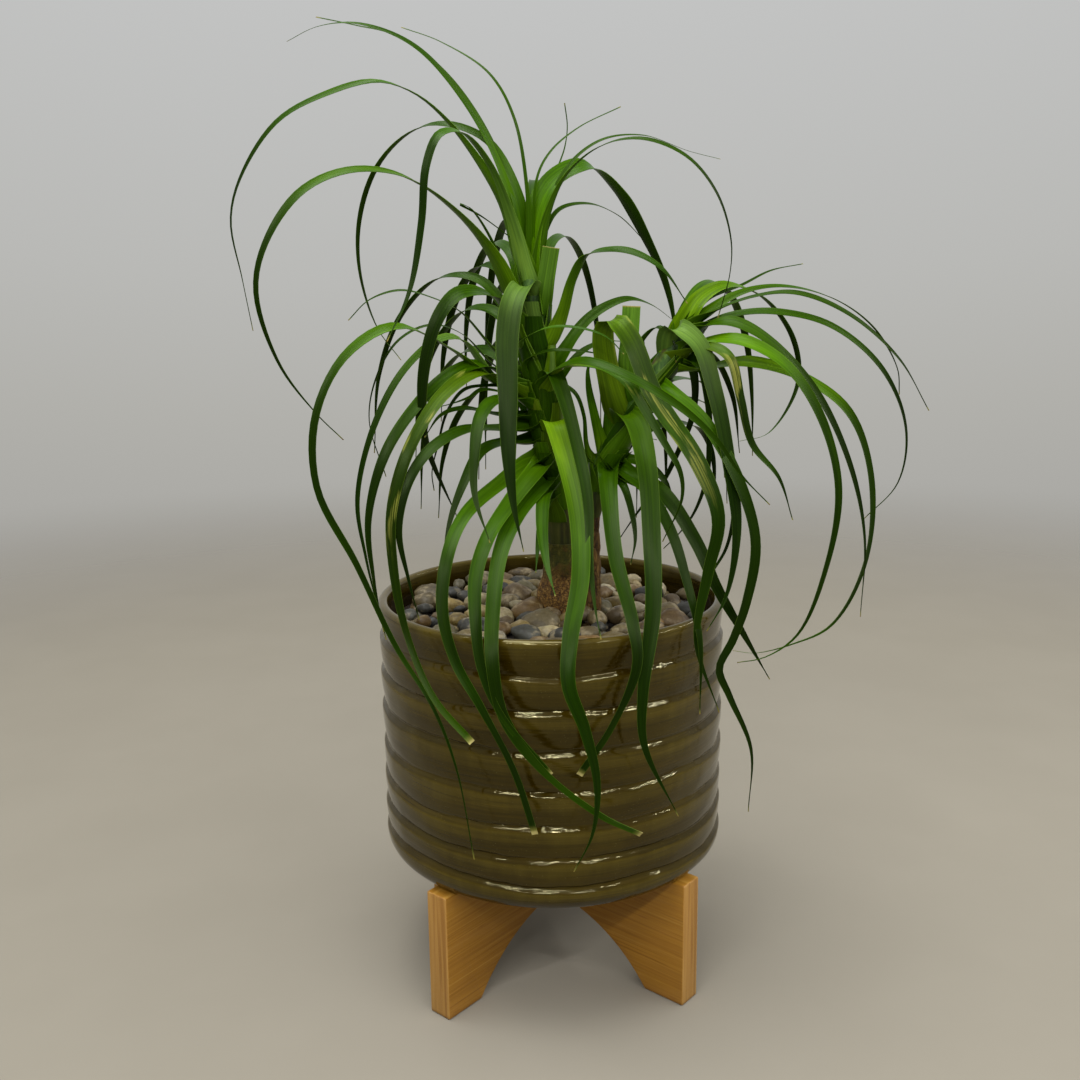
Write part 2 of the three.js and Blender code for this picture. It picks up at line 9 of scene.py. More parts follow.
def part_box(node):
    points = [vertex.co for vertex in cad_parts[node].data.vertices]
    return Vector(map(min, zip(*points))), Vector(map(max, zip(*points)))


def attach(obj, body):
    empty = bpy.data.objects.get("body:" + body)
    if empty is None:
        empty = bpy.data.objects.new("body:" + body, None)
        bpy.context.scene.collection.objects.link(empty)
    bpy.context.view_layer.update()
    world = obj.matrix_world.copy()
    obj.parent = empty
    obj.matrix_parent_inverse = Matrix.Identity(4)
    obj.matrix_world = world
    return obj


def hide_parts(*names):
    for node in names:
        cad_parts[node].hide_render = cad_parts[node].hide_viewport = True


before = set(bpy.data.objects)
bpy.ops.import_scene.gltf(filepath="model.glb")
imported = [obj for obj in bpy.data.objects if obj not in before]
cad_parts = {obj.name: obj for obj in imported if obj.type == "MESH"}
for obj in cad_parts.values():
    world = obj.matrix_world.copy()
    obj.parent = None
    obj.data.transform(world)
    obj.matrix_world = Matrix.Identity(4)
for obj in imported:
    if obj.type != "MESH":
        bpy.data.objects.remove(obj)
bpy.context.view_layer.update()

mm = 0.001
weld = 0.02 * mm  # vertices nearer than this are merged
potLow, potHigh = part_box("pot")
potAxis = Vector(((potLow.x + potHigh.x) / 2, (potLow.y + potHigh.y) / 2, 0))  # stands on the floor
print("frame loaded, the pot's axis is at", potAxis)


# tools for modelling
def deselectAll():
    if bpy.context.object and bpy.context.object.mode != "OBJECT":
        bpy.ops.object.mode_set(mode="OBJECT")
    bpy.ops.object.select_all(action="DESELECT")


def activate(*pieces):
    deselectAll()
    for piece in pieces:
        piece.select_set(True)
    bpy.context.view_layer.objects.active = pieces[0]


def named(name):
    piece = bpy.context.object
    piece.name = name
    piece.data.name = name
    return piece


def modify(piece, kind, **settings):
    activate(piece)
    modifier = piece.modifiers.new(kind.lower(), kind)
    for key, value in settings.items():
        setattr(modifier, key, value)
    bpy.ops.object.modifier_apply(modifier=modifier.name)


def cutAway(piece, cutter):
    modify(piece, "BOOLEAN", operation="DIFFERENCE", solver="EXACT", object=cutter)
    bpy.data.objects.remove(cutter)


def joined(pieces, name):
    activate(*pieces)
    bpy.ops.object.join()
    return named(name)


def smooth(piece, angle=40):
    activate(piece)
    bpy.ops.object.shade_smooth_by_angle(angle=math.radians(angle))


def settle(piece, place=(0, 0, 0), turn=0):
    # puts a piece in its place and bakes the place into its mesh
    activate(piece)
    piece.location = place
    piece.rotation_euler = (0, 0, math.radians(turn))
    bpy.ops.object.transform_apply(location=True, rotation=True, scale=True)


def turnedPiece(name, profile, steps):
    # one vertex is drawn up the profile of (radius, height) points, and the line is spun round the axis
    deselectAll()
    bpy.ops.mesh.primitive_plane_add(size=mm, location=(0, 0, 0))
    piece = named(name)
    bpy.ops.object.mode_set(mode="EDIT")
    bpy.ops.mesh.select_all(action="SELECT")
    bpy.ops.mesh.merge(type="CENTER")
    bpy.ops.transform.translate(value=(profile[0][0], 0, profile[0][1]))
    for (radius, height), (nextRadius, nextHeight) in zip(profile, profile[1:]):
        step = (nextRadius - radius, 0, nextHeight - height)
        bpy.ops.mesh.extrude_region_move(TRANSFORM_OT_translate={"value": step})
    bpy.ops.mesh.select_all(action="SELECT")
    bpy.ops.mesh.spin(steps=steps, angle=2 * math.pi, center=(0, 0, 0), axis=(0, 0, 1))
    bpy.ops.mesh.select_all(action="SELECT")
    bpy.ops.mesh.remove_doubles(threshold=weld)
    bpy.ops.mesh.normals_make_consistent(inside=False)
    bpy.ops.object.mode_set(mode="OBJECT")
    return piece


def moveVertices(piece, place):
    # place takes a vertex's position and gives its new one
    for vertex in piece.data.vertices:
        vertex.co = place(vertex.co.copy())


def pointColours(piece, name, colours):
    attribute = piece.data.color_attributes.new(name, "FLOAT_COLOR", "POINT")
    attribute.data.foreach_set("color", np.asarray(colours, dtype=np.float32).ravel())


def between(low, high, part):
    return low + (high - low) * part


def eitherWay(limit, chance):
    # a random amount of up to the limit, to either side
    return between(-limit, limit, chance.random())


def eased(value, low, high):
    part = min(1, max(0, (value - low) / (high - low)))
    return part * part * (3 - 2 * part)


def colour(code):
    # a hex colour as the linear one that a shader takes
    parts = [int(code[i:i + 2], 16) / 255 for i in (1, 3, 5)]
    return [part / 12.92 if part <= 0.04045 else ((part + 0.055) / 1.055) ** 2.4 for part in parts] + [1]


def blended(first, second, part):
    return [between(a, b, part) for a, b in zip(first, second)]


# tools for finishes
class Signal:
    # a node's output, so that shader maths is written as an expression
    def __init__(self, finish, socket):
        self.finish = finish
        self.socket = socket

    def math(self, operation, *values):
        return self.finish.node("ShaderNodeMath", {"operation": operation}, dict(enumerate(values)))

    def __add__(self, other):
        return self.math("ADD", self, other)

    def __radd__(self, other):
        return self.math("ADD", other, self)

    def __sub__(self, other):
        return self.math("SUBTRACT", self, other)

    def __rsub__(self, other):
        return self.math("SUBTRACT", other, self)

    def __mul__(self, other):
        return self.math("MULTIPLY", self, other)

    def __rmul__(self, other):
        return self.math("MULTIPLY", other, self)

    def __gt__(self, other):
        return self.math("GREATER_THAN", self, other)

    def __abs__(self):
        return self.math("ABSOLUTE", self)


class Finish:
    # one material, or the studio's backdrop, and the nodes that paint it
    def __init__(self, name, kind="materials"):
        self.block = getattr(bpy.data, kind).new(name)
        self.block.use_nodes = True
        self.tree = self.block.node_tree
        self.tree.nodes.clear()

    def node(self, kind, settings=None, sockets=None, out=0):
        made = self.tree.nodes.new(kind)
        for key, value in (settings or {}).items():
            if key == "stops":
                self.setStops(made.color_ramp, value)
            else:
                setattr(made, key, value)
        for key, value in (sockets or {}).items():
            if isinstance(value, Signal):
                self.tree.links.new(value.socket, made.inputs[key])
            else:
                made.inputs[key].default_value = value
        return None if out is None else Signal(self, made.outputs[out])

    def setStops(self, ramp, stops):
        while len(ramp.elements) < len(stops):
            ramp.elements.new(0.5)
        for element, (position, code) in zip(ramp.elements, stops):
            element.position = position
            element.color = colour(code)

    def place(self):
        return self.node("ShaderNodeTexCoord", out="Object")

    def stretched(self, vector, scale):
        return self.node("ShaderNodeVectorMath", {"operation": "MULTIPLY"}, {0: vector, 1: scale})

    def split(self, vector):
        made = self.node("ShaderNodeSeparateXYZ", None, {0: vector}).socket.node
        return [Signal(self, socket) for socket in made.outputs]

    def noise(self, vector, scale, detail=3, roughness=0.5):
        return self.node("ShaderNodeTexNoise", None,
                         {"Vector": vector, "Scale": scale, "Detail": detail, "Roughness": roughness})

    def grain(self, vector, scales, detail=3, roughness=0.5):
        # noise with a scale of its own along each axis
        return self.noise(self.stretched(vector, scales), 1, detail, roughness)

    def ramp(self, value, stops, interpolation="EASE"):
        made = self.node("ShaderNodeValToRGB", {"stops": stops}, {0: value})
        made.socket.node.color_ramp.interpolation = interpolation
        return made

    def remap(self, value, fromLow, fromHigh, toLow=0, toHigh=1):
        return self.node("ShaderNodeMapRange", {"interpolation_type": "SMOOTHSTEP"},
                         {0: value, 1: fromLow, 2: fromHigh, 3: toLow, 4: toHigh})

    def mix(self, factor, first, second, blend="MIX"):
        return self.node("ShaderNodeMix", {"data_type": "RGBA", "blend_type": blend},
                         {0: factor, 6: first, 7: second}, out=2)

    def stained(self, tone, code, where, low, high, amount, blend="MIX"):
        # lays a colour over a tone, more and more of it as a signal goes from low to high
        return self.mix(self.remap(where, low, high) * amount, tone, colour(code), blend)

    def attribute(self, name, out="Color"):
        return self.node("ShaderNodeAttribute", {"attribute_name": name}, out=out)

    def bump(self, height, distance, strength=1):
        return self.node("ShaderNodeBump", None,
                         {"Height": height, "Distance": distance, "Strength": strength})

    def surface(self, sockets):
        shader = self.node("ShaderNodeBsdfPrincipled", None, sockets)
        self.node("ShaderNodeOutputMaterial", None, {0: shader}, out=None)
        return self.block


def finished(piece, material, slot, *nodes):
    piece.data.materials.clear()
    piece.data.materials.append(material)
    for face in piece.data.polygons:
        face.material_index = 0
    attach(piece, "root")
    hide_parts(*nodes)
    print("made", piece.name, "with", len(piece.data.polygons), "faces")


# the pot: ribbed by hand on the wheel, and dipped in a dark olive glaze
pot = {
    "radius": 101.5 * mm,
    "height": 153 * mm,
    "wall": 6 * mm,
    "floor": 8 * mm,
    "ribs": [15, 31, 49, 69, 90, 112, 133],  # heights of the crests above the foot, in mm
    "ribDepth": 2.2 * mm,
    "ledge": 4.2 * mm,        # how far up the wall falls in over each crest
    "ribWave": 1.5 * mm,      # how far the potter's hand strayed
    "footInset": 12 * mm,
    "footRise": 12 * mm,
    "rowStep": 0.8 * mm,
    "steps": 240,
    "strays": [(1.5, 1), (0.42, 4.2), (0.22, 9.5)],  # how far the rings wander, and how finely
    "waveFrom": (4 * mm, 16 * mm),    # the heights over which the wandering sets in
    "waveTo": (141 * mm, 150 * mm),   # and those over which it ends under the rim
    "dents": 0.55 * mm,
}


def ribSwell(height):
    # each ring bulges up to its crest, then steps in at a ledge: 1 on the crest and 0 in the groove
    half = pot["ledge"] / 2
    crests = [0] + [rib * mm for rib in pot["ribs"]] + [pot["height"] + pot["ledge"]]
    low, high = next(pair for pair in zip(crests, crests[1:]) if height <= pair[1] + half)
    if height > high - half:
        return 1 - eased(height, high - half, high + half)
    part = (height - low) / (high - half - low)
    return math.sin(min(1, max(0, part)) * math.pi / 2) ** 0.8


def potProfile():
    inner = pot["radius"] - pot["wall"]
    groove = pot["radius"] - pot["ribDepth"]
    rim = pot["wall"] / 2
    points = [(0, 0), (pot["radius"] - pot["footInset"], 0)]
    for angle in range(15, 91, 15):
        turn = math.radians(angle)
        radius = pot["radius"] - pot["footInset"] * (1 - math.sin(turn))
        points.append((radius, pot["footRise"] * (1 - math.cos(turn))))
    height = pot["footRise"]
    while height < pot["height"] - rim - 1 * mm:
        points.append((groove + pot["ribDepth"] * ribSwell(height), height))
        height += pot["rowStep"]
    for angle in range(0, 181, 15):
        turn = math.radians(angle)
        height = pot["height"] - rim + rim * math.sin(turn)
        points.append((pot["radius"] - rim + rim * math.cos(turn), height))
    for part in range(1, 9):
        points.append((inner, between(pot["height"] - rim, pot["floor"], part / 8)))
    return points + [(0, pot["floor"])]


def thrown(co):
    # the ribs rise and fall a little round the pot, and the wall isn't quite round
    around = math.atan2(co.y, co.x)
    radius = math.hypot(co.x, co.y)
    # only the outside moves, while the foot and the rim stay level
    level = eased(radius, pot["radius"] - pot["wall"], pot["radius"] - pot["ribDepth"])
    level *= eased(co.z, *pot["waveFrom"]) * (1 - eased(co.z, *pot["waveTo"]))
    spot = Vector((math.cos(around) * 1.6, math.sin(around) * 1.6, co.z * 26))
    wander = 0.3 * math.sin(5 * around + co.z * 90)
    for far, fineness in pot["strays"]:
        wander += far * noise.noise(spot * fineness)
    dent = pot["dents"] * abs(noise.noise(spot * 2.1 + Vector((7, 3, 1)))) * level
    shrunk = 1 - dent / max(radius, mm)
    return Vector((co.x * shrunk, co.y * shrunk, co.z + pot["ribWave"] * level * wander))


def glazeFinish():
    glaze = Finish("olive glaze")
    place = glaze.node("ShaderNodeMapping", {"vector_type": "TEXTURE"},
                       {"Vector": glaze.place(), "Location": (potAxis.x, potAxis.y, potLow.z)})
    crest = glaze.attribute("crest", out="Fac")
    # fine throwing lines and brush threads run round the pot
    lines = glaze.grain(place, (9, 9, 330), detail=4, roughness=0.65)
    threads = glaze.grain(place, (20, 20, 1000), detail=2)
    clouds = glaze.noise(place, 24, roughness=0.6)
    drips = glaze.grain(place, (150, 150, 12))
    body = glaze.ramp(lines, [(0.28, "#231a02"), (0.50, "#2d2202"), (0.74, "#372a04")])
    body = glaze.stained(body, "#3b3006", clouds, 0.46, 0.72, 0.45)
    body = glaze.stained(body, "#271c03", clouds, 0.50, 0.30, 0.4)
    # the glaze breaks to a lighter olive on each crest, where it ran thin
    thin = glaze.remap(crest + lines * 0.35 + drips * 0.25, 1.02, 1.50)
    body = glaze.mix(thin * 0.3, body, colour("#736424"))
    body = glaze.stained(body, "#1f1603", threads, 0.56, 0.70, 0.35)
    speck = glaze.node("ShaderNodeTexVoronoi", None, {"Vector": place, "Scale": 420})
    body = glaze.stained(body, "#7a7448", speck, 0.13, 0.07, 0.2)
    height = lines * 0.6 + clouds * 0.8 + threads * 0.2
    return glaze.surface({
        "Base Color": body,
        "Roughness": glaze.remap(lines, 0.35, 0.7, 0.03, 0.06),
        "Normal": glaze.bump(height, 0.0007, 0.5),
        "IOR": 1.5,
        "Specular IOR Level": 0.4,
        "Specular Tint": (1, 0.92, 0.5, 1),
    })


def makePot():
    piece = turnedPiece("glazedPot", potProfile(), pot["steps"])
    crest = []
    for vertex in piece.data.vertices:
        radius, height = math.hypot(vertex.co.x, vertex.co.y), vertex.co.z
        onRim = height > pot["height"] - pot["wall"] * 0.8
        inside = radius < pot["radius"] - pot["wall"] / 2
        crest.append(1.0 if onRim else 0.3 if inside else ribSwell(height))
    attribute = piece.data.attributes.new("crest", "FLOAT", "POINT")
    attribute.data.foreach_set("value", crest)
    moveVertices(piece, thrown)
    smooth(piece, 60)
    settle(piece, (potAxis.x, potAxis.y, potLow.z))
    finished(piece, glazeFinish(), "glaze", "pot")


makePot()


# the stand: two boards of honey-coloured bamboo, crossing in a halving joint
stand = {
    "length": 203 * mm,
    "thickness": 15 * mm,
    "height": 75 * mm,
    "archSpan": 150 * mm,
    "archRise": 38 * mm,
    "gap": 0.3 * mm,
    "softEdge": 0.9 * mm,
    "strip": 5.2 * mm,        # the height of the bamboo strips that a board is glued from
    "turns": {"standBoardLeft": 230, "standBoardRight": 320},  # degrees, 0 is towards +X
    "nodes": {"standBoardLeft": "stand_board_left", "standBoardRight": "stand_board_right"},
}


def bambooFinish(name, turn):
    wood = Finish(name)
    place = wood.node("ShaderNodeMapping", {"vector_type": "TEXTURE"},
                      {"Vector": wood.place(), "Location": potAxis[:],
                       "Rotation": (0, 0, math.radians(turn))})
    along, _, up = wood.split(place)
    # each strip has its own tone, and fine dark and pale fibres run along it
    snapped = wood.node("ShaderNodeMath", {"operation": "SNAP"}, {0: up, 1: stand["strip"]})
    strip = wood.node("ShaderNodeTexNoise", {"noise_dimensions": "1D"},
                      {"W": snapped * 210, "Scale": 3.3, "Detail": 0})
    fibres = wood.grain(place, (14, 900, 1500), roughness=0.6)
    streaks = wood.grain(place, (11, 260, 720), roughness=0.6)
    clouds = wood.grain(place, (16, 30, 60), detail=2)
    tone = wood.ramp(streaks * 0.6 + fibres * 0.4, [(0.34, "#80530f"), (0.5, "#996b1e"), (0.66, "#ae8236")])
    tone = wood.stained(tone, "#855818", strip, 0.4, 0.65, 0.3)
    tone = wood.stained(tone, "#a27433", clouds, 0.5, 0.75, 0.35)
    tone = wood.stained(tone, "#6f4814", fibres, 0.56, 0.68, 0.4)
    # the growth rings of the cane cross a strip here and there
    ring = wood.grain(place, (34, 1, 190), detail=1)
    tone = wood.stained(tone, "#7a4a16", ring, 0.72, 0.78, 0.4)
    # the sawn ends show the strips as upright pale bands
    bands = wood.grain(place, (40, 260, 9), detail=2)
    end = wood.ramp(bands, [(0.35, "#8f642a"), (0.5, "#a4793a"), (0.65, "#b48a48")])
    tone = wood.mix(abs(along) > stand["length"] / 2 - 0.4 * mm, tone, end)
    # the feet darken where they touch the floor
    tone = wood.stained(tone, "#6b3f18", up, 0.003, 0.0003, 0.5)
    return wood.surface({
        "Base Color": tone,
        "Roughness": wood.remap(fibres, 0.3, 0.7, 0.42, 0.58),
        "Normal": wood.bump(fibres + streaks * 0.4, 0.0003, 0.4),
        "Specular IOR Level": 0.35,
    })


def boxCutter(size, middle):
    deselectAll()
    bpy.ops.mesh.primitive_cube_add(size=1, location=middle)
    cutter = bpy.context.object
    cutter.scale = size
    bpy.ops.object.transform_apply(location=True, rotation=True, scale=True)
    return cutter


def makeBoard(name, turn, fromTop):
    thick, high, rise = stand["thickness"], stand["height"], stand["archRise"]
    piece = boxCutter((stand["length"], thick, high), (0, 0, high / 2))
    piece.name = piece.data.name = name
    halfSpan = stand["archSpan"] / 2
    archRadius = (halfSpan ** 2 + rise ** 2) / (2 * rise)
    deselectAll()
    bpy.ops.mesh.primitive_cylinder_add(vertices=192, radius=archRadius, depth=thick * 3,
                                        location=(0, 0, rise - archRadius), rotation=(math.pi / 2, 0, 0))
    cutAway(piece, bpy.context.object)
    joint = (rise + high) / 2
    low, top = (joint, high * 2) if fromTop else (0, joint + stand["gap"])
    cutAway(piece, boxCutter((thick + 2 * stand["gap"], thick * 2, top - low), (0, 0, (low + top) / 2)))
    sharp = 35
    modify(piece, "BEVEL", width=stand["softEdge"], segments=3, limit_method="ANGLE",
           angle_limit=math.radians(sharp))
    smooth(piece, sharp)
    settle(piece, potAxis, turn)
    finished(piece, bambooFinish(name + " bamboo", turn), "stand_wood", stand["nodes"][name])


for name, turn in stand["turns"].items():
    makeBoard(name, turn, fromTop=name == "standBoardRight")


# where the two stems stand in the pot
stems = {
    "tall": {"place": (7, 0), "foot": 16 * mm, "neck": 10 * mm, "top": 258 * mm},
    "thin": {"place": (25, -12), "foot": 4.5 * mm, "neck": 3.6 * mm, "top": 275 * mm},
    "foot": 178.3 * mm,
}

# the soil, which shows only between the stones
filling = {
    "radius": 95.2 * mm,
    "soilTop": 211.3 * mm,
    "gap": 0.6 * mm,          # round each stem
    "underGap": 0.3 * mm,     # over the pot's floor and under the stems
    "crumb": 1.1 * mm,
    "rings": 30,
    "steps": 96,
    "holeDepth": 100 * mm,
}


def soilFinish():
    soil = Finish("potting soil")
    crumbs = soil.noise(soil.place(), 260, detail=5, roughness=0.7)
    bits = soil.node("ShaderNodeTexVoronoi", None, {"Vector": soil.place(), "Scale": 330})
    tone = soil.ramp(crumbs, [(0.35, "#120d09"), (0.55, "#2b1f16"), (0.72, "#4a3726")])
    tone = soil.stained(tone, "#6e6253", bits, 0.2, 0.1, 0.4)
    return soil.surface({"Base Color": tone, "Roughness": 0.95, "Normal": soil.bump(crumbs, 0.001, 0.9)})


def makeSoil():
    low = potLow.z + pot["floor"] + filling["underGap"]
    top = filling["soilTop"] - filling["crumb"]
    rings = filling["rings"]
    profile = [(0, low), (filling["radius"], low)]
    profile += [(filling["radius"] * (rings - ring) / rings, top) for ring in range(rings + 1)]
    piece = turnedPiece("pottingSoil", profile, filling["steps"])

    def crumbled(co):
        if co.z > top - mm:
            co.z += filling["crumb"] * (0.5 + 0.5 * noise.noise(co * 170) + 0.35 * noise.noise(co * 420))
        return co

    moveVertices(piece, crumbled)
    for stem in (stems["tall"], stems["thin"]):
        x, y = stem["place"]
        middle = stems["foot"] + filling["holeDepth"] / 2 - filling["underGap"]
        deselectAll()
        bpy.ops.mesh.primitive_cylinder_add(vertices=48, radius=stem["foot"] + filling["gap"],
                                            depth=filling["holeDepth"], location=(x * mm, y * mm, middle))
        cutAway(piece, bpy.context.object)
    smooth(piece, 50)
    settle(piece, potAxis)
    finished(piece, soilFinish(), "soil", "soil")


makeSoil()


# the river stones that cover the soil
stones = {
    "bedRadius": 94.2 * mm,
    "layers": [  # how many, the height of their middles, and their half length
        {"count": 96, "height": 213.2 * mm, "small": 4.6 * mm, "large": 7.6 * mm, "heap": 0.6 * mm},
        {"count": 104, "height": 217.2 * mm, "small": 4.6 * mm, "large": 11.4 * mm, "heap": 2.0 * mm},
    ],
    "closeness": 0.80,        # how near two middles may come, in sums of half lengths
    "pushes": 45,             # rounds in which the stones push each other apart
    "width": (0.68, 0.88),    # in lengths
    "thickness": (0.50, 0.68),
    "tilt": 0.3,              # radians
    "unevenness": 0.8 * mm,   # how far a stone lies over or under its layer
    "tint": (0.30, 0.70),     # how bright a stone is, next to its colour
    "lumps": 0.24,
    "dents": 0.09,
    "lean": 0.3,              # how lopsided a stone is worn
    "stemRoom": 0.72,         # the distance kept to a stem, in half lengths
    "wallRoom": 0.92,         # and to the wall
    "colours": ["#8f7f52", "#82734c", "#a8986c", "#666148", "#474740", "#816a40", "#c4b78e", "#6f6848",
                "#8f7c44", "#53544c", "#9a7a42", "#3c3e3c", "#807a60", "#d0c7aa", "#a59056", "#766442"],
    "shapes": 9,
    "seed": 4,
}


def stoneTemplate(chance, index):
    # a cube rounded by subdivision, then worn lopsided
    deselectAll()
    bpy.ops.mesh.primitive_cube_add(size=2)
    piece = named("stoneShape%d" % index)
    modify(piece, "SUBSURF", levels=2, render_levels=2)
    longest = max(vertex.co.length for vertex in piece.data.vertices)
    shift = Vector((index * 3.1, index * 1.7, 5))
    lean = eitherWay(stones["lean"], chance)

    def worn(co):
        co = co / longest
        wear = stones["lumps"] * noise.noise(co * 1.1 + shift)
        wear += stones["dents"] * noise.noise(co * 2.9 + shift)
        co = co.normalized() * (1 + wear)
        co.x *= 1 + lean * co.y
        return co

    moveVertices(piece, worn)
    smooth(piece, 180)
    return piece


def keepApart(first, second):
    dx, dy = second[0] - first[0], second[1] - first[1]
    apart = math.hypot(dx, dy) or mm
    wanted = stones["closeness"] * (first[2] + second[2])
    if apart < wanted:
        push = (wanted - apart) / apart * 0.25
        first[0] -= dx * push
        first[1] -= dy * push
        second[0] += dx * push
        second[1] += dy * push


def keepInBed(stone):
    for stem in (stems["tall"], stems["thin"]):
        dx, dy = stone[0] - stem["place"][0] * mm, stone[1] - stem["place"][1] * mm
        apart = math.hypot(dx, dy) or mm
        wanted = stem["foot"] + stone[2] * stones["stemRoom"]
        if apart < wanted:
            stone[0] += dx * (wanted - apart) / apart
            stone[1] += dy * (wanted - apart) / apart
    reach = math.hypot(stone[0], stone[1])
    limit = stones["bedRadius"] - stone[2] * stones["wallRoom"]
    if reach > limit:
        stone[0] *= limit / reach
        stone[1] *= limit / reach


def stoneLayout(layer, chance):
    # stones start on a sunflower spiral, then push each other apart and stay clear of stems and wall
    golden = math.pi * (3 - math.sqrt(5))
    found = []
    for i in range(layer["count"]):
        size = between(layer["small"], layer["large"], chance.random() ** 1.4)
        reach = (stones["bedRadius"] - size) * math.sqrt((i + 0.5) / layer["count"])
        found.append([reach * math.cos(i * golden), reach * math.sin(i * golden), size])
    for _ in range(stones["pushes"]):
        for i, first in enumerate(found):
            for second in found[i + 1:]:
                keepApart(first, second)
        for stone in found:
            keepInBed(stone)
    return found


def stoneFinish():
    stone = Finish("river stone")
    paint = stone.attribute("stone")
    spot = stone.place()
    grain = stone.noise(spot, 560, detail=4, roughness=0.7)
    veins = stone.grain(spot, (110, 110, 320), detail=4, roughness=0.6)
    patches = stone.noise(spot, 120, roughness=0.6)
    tone = stone.stained(paint, "#d2c090", grain, 0.35, 0.65, 0.6, "MULTIPLY")
    tone = stone.stained(tone, "#7a6444", veins, 0.52, 0.68, 0.45, "MULTIPLY")
    tone = stone.stained(tone, "#c9b78f", patches, 0.52, 0.70, 0.35)
    tone = stone.stained(tone, "#7a6a58", patches, 0.46, 0.32, 0.4, "MULTIPLY")
    return stone.surface({
        "Base Color": tone,
        "Roughness": stone.remap(grain, 0.3, 0.7, 0.42, 0.62),
        "Normal": stone.bump(grain + veins, 0.0004, 0.45),
        "Specular IOR Level": 0.4,
    })


def makeStones():
    chance = random.Random(stones["seed"])
    templates = [stoneTemplate(chance, index) for index in range(stones["shapes"])]
    pieces = []
    for layer in stones["layers"]:
        for x, y, size in stoneLayout(layer, chance):
            piece = chance.choice(templates).copy()
            piece.data = piece.data.copy()
            bpy.context.scene.collection.objects.link(piece)
            code = chance.choice(stones["colours"])
            tint = between(*stones["tint"], chance.random())
            paint = [part * tint for part in colour(code)[:3]] + [1]
            pointColours(piece, "stone", [paint] * len(piece.data.vertices))
            width = between(*stones["width"], chance.random())
            height = between(*stones["thickness"], chance.random())
            heap = layer["heap"] * (1 - math.hypot(x, y) / stones["bedRadius"])
            lift = heap + eitherWay(stones["unevenness"], chance)
            piece.scale = (size, size * width, size * height)
            tilts = [eitherWay(stones["tilt"], chance) for _ in range(2)]
            piece.rotation_euler = (*tilts, chance.random() * math.pi)
            piece.location = (potAxis.x + x, potAxis.y + y, layer["height"] + lift)
            pieces.append(piece)
    activate(*pieces)
    bpy.ops.object.transform_apply(location=True, rotation=True, scale=True)
    for template in templates:
        bpy.data.objects.remove(template)
    piece = joined(pieces, "riverStones")
    finished(piece, stoneFinish(), "pebbles", "pebbles")


makeStones()


# the woody stems
bark = {
    "steps": {"caudex": 80, "thinCane": 32},
    "rings": 84,
    "shoulder": 12 * mm,      # heights over the widest place of the foot
    "waist": 26 * mm,
    "knobs": 0.9 * mm,
    "mostGrowth": 1.2 * mm,   # how far a knob may stand over the widest place
    "greenFrom": 236 * mm,    # the swollen foot is scaly up to here, and smooth and green above
    "greenTo": 247 * mm,
    "crackStray": 0.004,      # how far the cracks wander from straight cells
}


def barkFinish(name, scaly):
    finish = Finish(name)
    place = finish.place()
    height = finish.split(place)[2]
    bend = finish.noise(place, 90)
    stray = finish.node("ShaderNodeTexNoise", None, {"Vector": place, "Scale": 300, "Detail": 3}, out=1)
    strayed = finish.node("ShaderNodeVectorMath", {"operation": "MULTIPLY_ADD"},
                          {0: stray, 1: [bark["crackStray"]] * 3, 2: place})
    cells = finish.node("ShaderNodeTexVoronoi", {"feature": "DISTANCE_TO_EDGE"},
                        {"Vector": finish.stretched(strayed, (1, 1, 1.5) if scaly else (1.6, 1.6, 0.5)),
                         "Scale": 480 if scaly else 260})
    cracks = finish.remap(cells, 0.16, 0.0)
    grain = finish.grain(place, (330, 330, 160 if scaly else 45), detail=5, roughness=0.65)
    if scaly:
        tone = finish.ramp(grain, [(0.32, "#57391a"), (0.50, "#83602c"), (0.68, "#ac8648")])
        tone = finish.mix(cracks * 0.8, tone, colour("#2a1a0c"))
        # over the scales the skin is smoother and greener, with brown stains
        green = finish.remap(height + bend * 0.014, bark["greenFrom"] + 7 * mm, bark["greenTo"] + 7 * mm)
        skin = finish.ramp(grain, [(0.32, "#363c10"), (0.52, "#4c5018"), (0.72, "#6c6a2c")])
        skin = finish.stained(skin, "#8a5c2c", bend, 0.54, 0.68, 0.45)
        tone = finish.mix(green * 0.9, tone, skin)
    else:
        tone = finish.ramp(grain, [(0.34, "#3a2810"), (0.52, "#684c24"), (0.70, "#957640")])
        tone = finish.mix(cracks * 0.5, tone, colour("#24140c"))
    return finish.surface({
        "Base Color": tone,
        "Roughness": finish.remap(grain, 0.3, 0.7, 0.68, 0.9),
        "Normal": finish.bump(grain * 0.8 - cracks * 0.7, 0.0009, 0.8),
        "Specular IOR Level": 0.3,
    })


